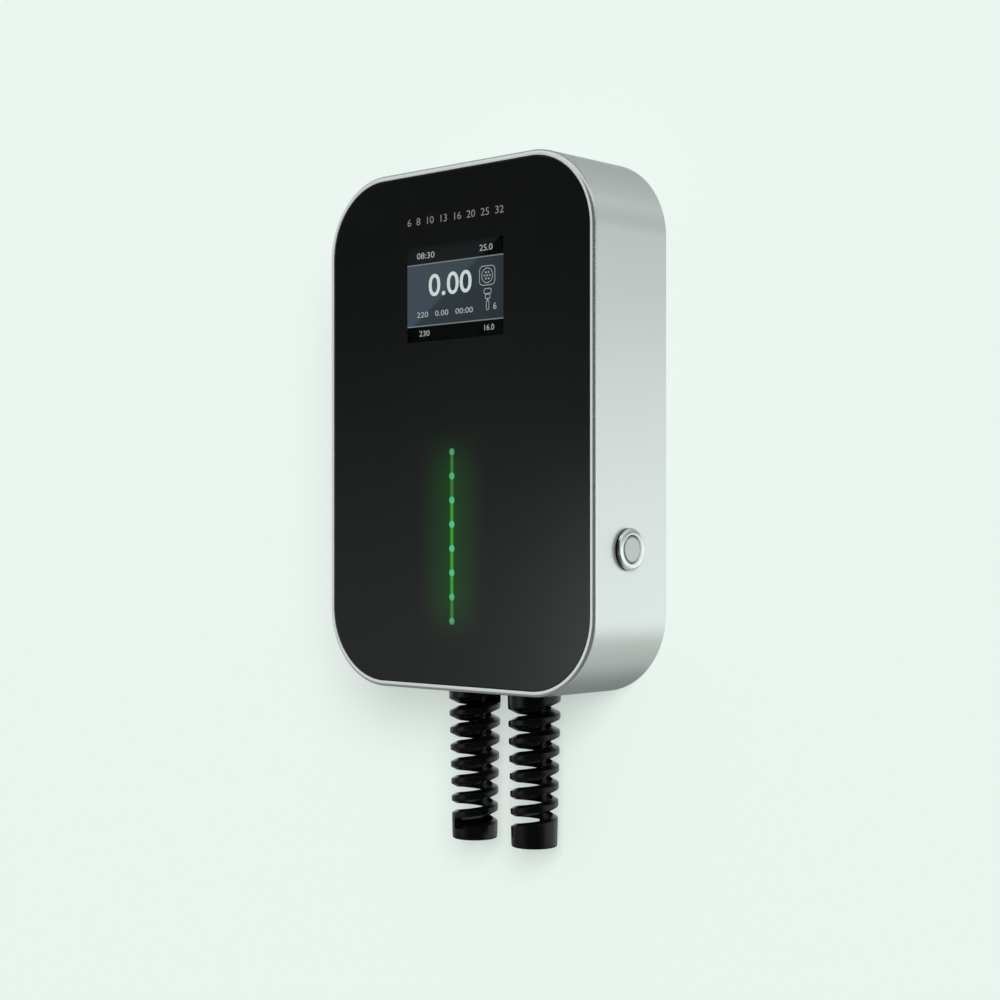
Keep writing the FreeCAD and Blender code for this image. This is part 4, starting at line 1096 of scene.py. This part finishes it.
def turned_ring():
    finish = Finish("button_metal")
    x, radius = off_axis(finish)
    groove = finish.node("ShaderNodeTexNoise", {"noise_dimensions": "2D"}, {
        "Vector": finish.node("ShaderNodeCombineXYZ", None, {0: radius, 1: x}),
        "Scale": 1 / (0.15 * MM),
        "Detail": 2.0,
    })
    bright = finish.blend(groove, (0.72, 0.74, 0.73), (0.84, 0.86, 0.85))
    # Painted shadow: the ring's side wall next to the housing is coloured nearly black for the
    # dark gap where the ring meets the housing.
    painted_dark_wall = (x - RING_BACK).ramp(1.5 * MM, 1.3 * MM)
    inner = radius.ramp(9.35 * MM, 9.2 * MM) * (1 - painted_dark_wall)
    finish.coat({
        "Base Color": finish.blend(painted_dark_wall, bright, (0.006, 0.007, 0.007)),
        "Metallic": 1.0 - inner * 0.7,
        "Roughness": 0.14 + groove * 0.1 + inner * 0.2,
        "Normal": finish.bump(groove, 0.005 * MM, 0.4),
    })


brushed_cap()
turned_ring()
print("button metals ready")

# %% [markdown]
# The glands, seals, covers and inner parts are all simple finishes that differ in colour, in
# gloss and in how coarse their surface is. One function covers them: two close tones that
# drift over the surface, a little unevenness of gloss, and a fine relief.

# %% Plain finishes
DRIFT = 25 * MM


def plain_finish(name, dark, pale, gloss, spot, relief, shine=0.5, metal=0.0):
    """Finish of two close tones with a fine grain of one spot size and relief."""
    finish = Finish(name)
    fine = finish.grain(spot, 3)
    slow = finish.grain(DRIFT, 2)
    finish.coat({
        "Base Color": finish.blend(slow * 0.7 + fine * 0.3, dark, pale),
        "Metallic": metal,
        "Specular IOR Level": shine,
        "Roughness": gloss - 0.04 + fine * 0.05 + slow * 0.04,
        "Normal": finish.bump(fine, relief, 0.6),
    })


PLAIN = {
    "gland_black": (
        (0.0008, 0.0008, 0.0008), (0.002, 0.002, 0.002), 0.22, 0.4 * MM, 0.01 * MM, 0.28
    ),
    "foam_tape": ((0.02, 0.02, 0.02), (0.035, 0.035, 0.035), 0.9, 0.5 * MM, 0.1 * MM),
    "moulded_black": ((0.02, 0.02, 0.021), (0.03, 0.03, 0.031), 0.55, 0.4 * MM, 0.02 * MM),
    "seal_rubber": ((0.013, 0.013, 0.013), (0.024, 0.024, 0.023), 0.72, 0.6 * MM, 0.02 * MM),
    "cover_black": ((0.03, 0.031, 0.032), (0.042, 0.043, 0.044), 0.5, 0.5 * MM, 0.05 * MM),
    "potted_black": ((0.02, 0.02, 0.021), (0.035, 0.035, 0.036), 0.3, 2 * MM, 0.05 * MM),
    "contactor_grey": ((0.4, 0.42, 0.43), (0.48, 0.5, 0.51), 0.5, 0.4 * MM, 0.02 * MM),
    "led_pale": ((0.8, 0.8, 0.64), (0.88, 0.88, 0.74), 0.4, 0.3 * MM, 0.01 * MM),
    "guide_green": ((0.12, 0.6, 0.26), (0.18, 0.72, 0.34), 0.2, 0.8 * MM, 0.01 * MM),
}
for name, values in PLAIN.items():
    plain_finish(name, *values)

METALS = {
    "screw_steel": ((0.5, 0.5, 0.5), (0.66, 0.66, 0.65), 0.3, 0.3 * MM, 0.01 * MM),
    "standoff_brass": ((0.66, 0.5, 0.22), (0.8, 0.64, 0.32), 0.3, 0.3 * MM, 0.01 * MM),
}
for name, values in METALS.items():
    plain_finish(name, *values, metal=1.0)
print("plain finishes", len(PLAIN) + len(METALS))

# %% [markdown]
# Galvanised sheet shows its spangle, the flat crystals of the zinc, each with its own tone and
# gloss. Voronoi cells give exactly that. A circuit board is green lacquer over copper: its
# tracks show as slightly paler, raised lines, made here from a grid of thin bands that noise
# breaks up.

# %% Zinc and circuit board
def spangled_zinc(name, cell):
    finish = Finish(name)
    crystal = finish.node("ShaderNodeTexVoronoi", None, {
        "Vector": finish.place(), "Scale": 1 / cell,
    }, output="Color")
    tone = finish.parts(crystal)[0]
    fine = finish.grain(0.4 * MM, 3)
    finish.coat({
        "Base Color": finish.blend(tone * 0.7 + fine * 0.3, (0.5, 0.52, 0.53), (0.68, 0.7, 0.71)),
        "Metallic": 0.9,
        "Roughness": 0.34 + tone * 0.14,
        "Normal": finish.bump(fine, 0.01 * MM, 0.4),
    })


TRACK_PITCH = 2.4 * MM


def board_lacquer():
    finish = Finish("circuit_board")
    x, y, z = finish.xyz()
    tracks = abs((x / TRACK_PITCH).fraction() - 0.5).ramp(0.14, 0.1)
    broken = finish.grain(9 * MM, 1).ramp(0.48, 0.54)
    copper = tracks * broken
    finish.coat({
        "Base Color": finish.blend(copper, (0.012, 0.10, 0.04), (0.03, 0.2, 0.09)),
        "Roughness": 0.3 + finish.grain(MM) * 0.1,
        "Normal": finish.bump(copper, 0.03 * MM, 0.7),
    })


spangled_zinc("chassis_zinc", 7 * MM)
spangled_zinc("bracket_zinc", 5 * MM)
board_lacquer()
print("finishes", sorted(FINISHES))

# %% [markdown]
# Every piece now gets its finish and the body that it moves with. Only the cap of the button
# moves. The nodes of the solid model that nothing replaces keep their shape and get the
# finish that their record names.

# %% Dress the pieces
def dress(piece, finish, *nodes, body="box", slot=None):
    """Gives a piece its finish and its body, and hides the nodes that it stands for; slot is not
    used.
    """
    slot = slot or finish
    piece.data.materials.clear()
    piece.data.materials.append(FINISHES[finish])
    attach(piece, body)
    if nodes:
        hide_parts(*nodes)
    print(piece.name, len(piece.data.polygons), "faces")


dress(shell, "housing_silver", "housing")
dress(glass, "glass_black", "front_glass")
dress(amps, "figures_bright", slot="lcd_dark")
for piece in small_signs:
    dress(piece, "figures_dim", slot="lcd_dark")
dress(scale_print, "printed_grey", slot="glass_black")
dress(ring, "button_metal", "button_bezel")
dress(cap, "cap_metal", "button_cap", body="button")
dress(spring, "screw_steel", "button_spring")
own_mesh(spring)
for name, piece in gland_pieces.items():
    dress(piece, "gland_black", name + "_spiral_gland")
dress(cover, "cover_black", "rear_cover")
dress(bracket, "bracket_zinc", "wall_bracket")
dress(screws[0], "screw_steel", "rear_cover_screws")
for screw in screws[1:]:
    dress(screw, "screw_steel")

SLOT_OF = {part["node"]: part["material_slot"] for part in frame["record"]["subparts"]}
for node, solid in frame["nodes"].items():
    for slot in solid.material_slots:
        slot.material = FINISHES[SLOT_OF[node]]
print("nodes with a finish", len(SLOT_OF))

# %% [markdown]
# The box hangs on a pale wall over a pale floor. The wall only has to show to the camera and
# take the box's shadow, so other rays pass it, and from behind it is clear, so that the back
# of the box can be seen. About half of the wall's tone is a glow of its own, which keeps it
# even. The floor is pale where it is seen or mirrored, and darker for the light that it
# sends up.

# %% Wall and floor
WALL_COLOUR = (0.815, 0.905, 0.855)
WALL_GLOW = 0.57
WALL_SHARE = 0.46
WALL_GAP = 0.6 * MM
FLOOR_Z = -0.75
STAGE_SIZE = 12


def stage_plane(name, size, place, turn, unseen_by=()):
    """Flat plane that isn't part of the object, and the kinds of rays that pass it."""
    deselect()
    bpy.ops.mesh.primitive_plane_add(size=size, location=place, rotation=turn)
    plane = bpy.context.object
    plane.name = name
    for rays in unseen_by:
        setattr(plane, "visible_" + rays, False)
    return plane


def wall_paint():
    finish = Finish("wall_paint")
    paint = finish.surface({
        "Base Color": tuple(part * WALL_SHARE for part in WALL_COLOUR),
        "Roughness": 1.0,
        "Specular IOR Level": 0.0,
        "Emission Color": WALL_COLOUR,
        "Emission Strength": WALL_GLOW,
    })
    clear = finish.node("ShaderNodeBsdfTransparent")
    behind = finish.node("ShaderNodeNewGeometry", output="Backfacing")
    return finish.done(finish.node("ShaderNodeMixShader", None, {0: behind, 1: paint, 2: clear}))


def floor_paint():
    finish = Finish("floor_paint")
    seen = finish.node("ShaderNodeLightPath", output="Is Camera Ray")
    mirrored = finish.node("ShaderNodeLightPath", output="Is Glossy Ray")
    tone = finish.blend(seen.most(mirrored), (0.3, 0.31, 0.3), (0.83, 0.86, 0.84))
    return finish.coat({"Base Color": tone, "Roughness": 1.0, "Specular IOR Level": 0.0})


UPRIGHT = (math.pi / 2, 0, 0)
backdrop = stage_plane(
    "wall", STAGE_SIZE, (0, WALL_GAP, 0), UPRIGHT, ("diffuse", "glossy", "shadow")
)
backdrop.data.materials.append(wall_paint())
ground = stage_plane("floor", STAGE_SIZE, (0, 0, FLOOR_Z), (0, 0, 0))
ground.data.materials.append(floor_paint())
print("wall and floor", backdrop.name, ground.name)

# %% [markdown]
# One broad sun stands behind the viewer and a little higher, so the soft shadow only shows
# under the box. It gives no glints, because those are left to the cards. The room itself adds
# a dim even grey, but rays from the camera, through glass or off a glossy surface find the
# colour of the wall there.

# %% Light
ROOM = 0.3
SUN_POWER = 3.14
SUN_TURN = 42.5
SUN_HEIGHT = 18
SUN_SOFTNESS = 34


def room_light():
    world = bpy.data.worlds.new("room")
    bpy.context.scene.world = world
    world.use_nodes = True
    nodes, links = world.node_tree.nodes, world.node_tree.links
    path = nodes.new("ShaderNodeLightPath")
    shown = path.outputs["Is Camera Ray"]
    for kind in ("Is Transmission Ray", "Is Glossy Ray"):
        either = nodes.new("ShaderNodeMath")
        either.operation = "MAXIMUM"
        links.new(shown, either.inputs[0])
        links.new(path.outputs[kind], either.inputs[1])
        shown = either.outputs[0]
    colour = nodes.new("ShaderNodeMix")
    colour.data_type = "RGBA"
    colour.inputs[6].default_value = (ROOM, ROOM, ROOM, 1)
    colour.inputs[7].default_value = (*WALL_COLOUR, 1)
    links.new(shown, colour.inputs[0])
    links.new(colour.outputs[2], nodes["Background"].inputs["Color"])


def sun(name, power, turn, height, softness):
    """Sun from the right by one angle and from above by another."""
    data = bpy.data.lights.new(name, "SUN")
    data.energy = power
    data.angle = math.radians(softness)
    lamp = bpy.data.objects.new(name, data)
    bpy.context.collection.objects.link(lamp)
    lamp.rotation_euler = (math.radians(90 - height), 0, math.radians(turn))
    lamp.visible_glossy = False


room_light()
sun("window_light", SUN_POWER, SUN_TURN, SUN_HEIGHT, SUN_SOFTNESS)
print("room", ROOM, "sun", SUN_POWER)

# %% [markdown]
# Smooth metal and glass show what stands around them more than they show the light. Five plain
# cards give them something to show, and only reflections see these. The card on the left is for
# the glass, dark above and brighter towards its lower right. The dark card behind the viewer
# draws the dark line along the rounded rim and the dark middle of the black glands. One below
# and one above light the rim's lower and upper edges. The card at the back right shades the
# side from a dull top to a bright foot.

# %% Cards for the reflections
def card_light(name, dark, bright, amount):
    """Emission that goes from dark to bright by a rule of the card's own X and Y."""
    finish = Finish(name)
    x, y, z = finish.xyz()
    colour = finish.blend(amount(x, y), dark, bright)
    shine = finish.node("ShaderNodeEmission", None, {"Color": colour, "Strength": 1.0})
    return finish.done(shine)


def card(name, width, height, place, turn, glow):
    """Plain card that only reflections see, with two colours of glow and their rule."""
    plane = stage_plane(name, 1, place, turn, ("camera", "diffuse", "shadow"))
    plane.scale = (width, height, 1)
    alone(plane)
    bpy.ops.object.transform_apply(location=False, rotation=False, scale=True)
    plane.data.materials.append(card_light(name + "_light", *glow))
    print(name, [round(c, 2) for c in place])


def upright(name, width, height, turn, distance, glow):
    """Card that faces the box from one side."""
    side = math.radians(turn)
    place = (distance * math.sin(side), -distance * math.cos(side), 0)
    card(name, width, height, place, (math.pi / 2, 0, side), glow)


upright("glass_card", 3, 3, -41, 2.66, (
    (0.065, 0.07, 0.068), (1.0, 1.085, 1.045),
    lambda x, y: (y - x.ramp(-0.3, -0.03) * 0.12).ramp(0.5, -0.45) * 0.29
    + y.ramp(0.2, -0.42) * ((x + 0.5).most(0.0).least(0.75) * 1.48) ** 5.0 * 0.7,
))
upright("viewer_card", 6, 5, 33, 2.6, (
    (0.02, 0.022, 0.021), (0.05, 0.055, 0.052),
    lambda x, y: y.ramp(1.0, -1.0),
))
card("floor_card", 5, 5, (0.1, -0.5, -0.7), (0, 0, 0), (
    (0.06, 0.065, 0.063), (0.52, 0.56, 0.54),
    lambda x, y: x.ramp(0.4, -0.3) * 0.36 + x.ramp(-0.2, 0.2) * y.ramp(0.3, 0.8),
))
card("ceiling_card", 2.6, 1.8, (-0.6, 0.65, 1.0), (0, 0, 0), (
    (0.25, 0.27, 0.26), (0.35, 0.37, 0.36),
    lambda x, y: x.ramp(-1.3, 1.3),
))
upright("side_card", 3.2, 3.2, 137.5, 1.6, (
    (0.33, 0.355, 0.345), (1.12, 1.2, 1.165),
    lambda x, y: y.ramp(0.52, -0.12) * y.ramp(-1.2, -0.4, 0.4, 1.0) + y.ramp(0.7, 1.3) * 0.5,
))

# %% [markdown]
# The camera stands to the right of the box, a little below its middle, looks level and is
# turned by 42.5 degrees. Its place was found from the outline of the glass and of the side. The
# frame is shifted up slightly, as the picture is framed.

# %% Camera
camera_data = bpy.data.cameras.new("camera")
camera = bpy.data.objects.new("camera", camera_data)
bpy.context.collection.objects.link(camera)
camera.location = (0.8448, -0.9492, -0.0666)
camera.rotation_euler = (math.pi / 2, 0, math.radians(42.49))
camera_data.lens = 68.17
camera_data.sensor_width = 36
camera_data.shift_y = 0.031
camera_data.clip_start = 0.05
camera_data.clip_end = 50
bpy.context.scene.camera = camera
bpy.context.scene.view_settings.view_transform = "Standard"
print("camera", tuple(round(c, 3) for c in camera.location))
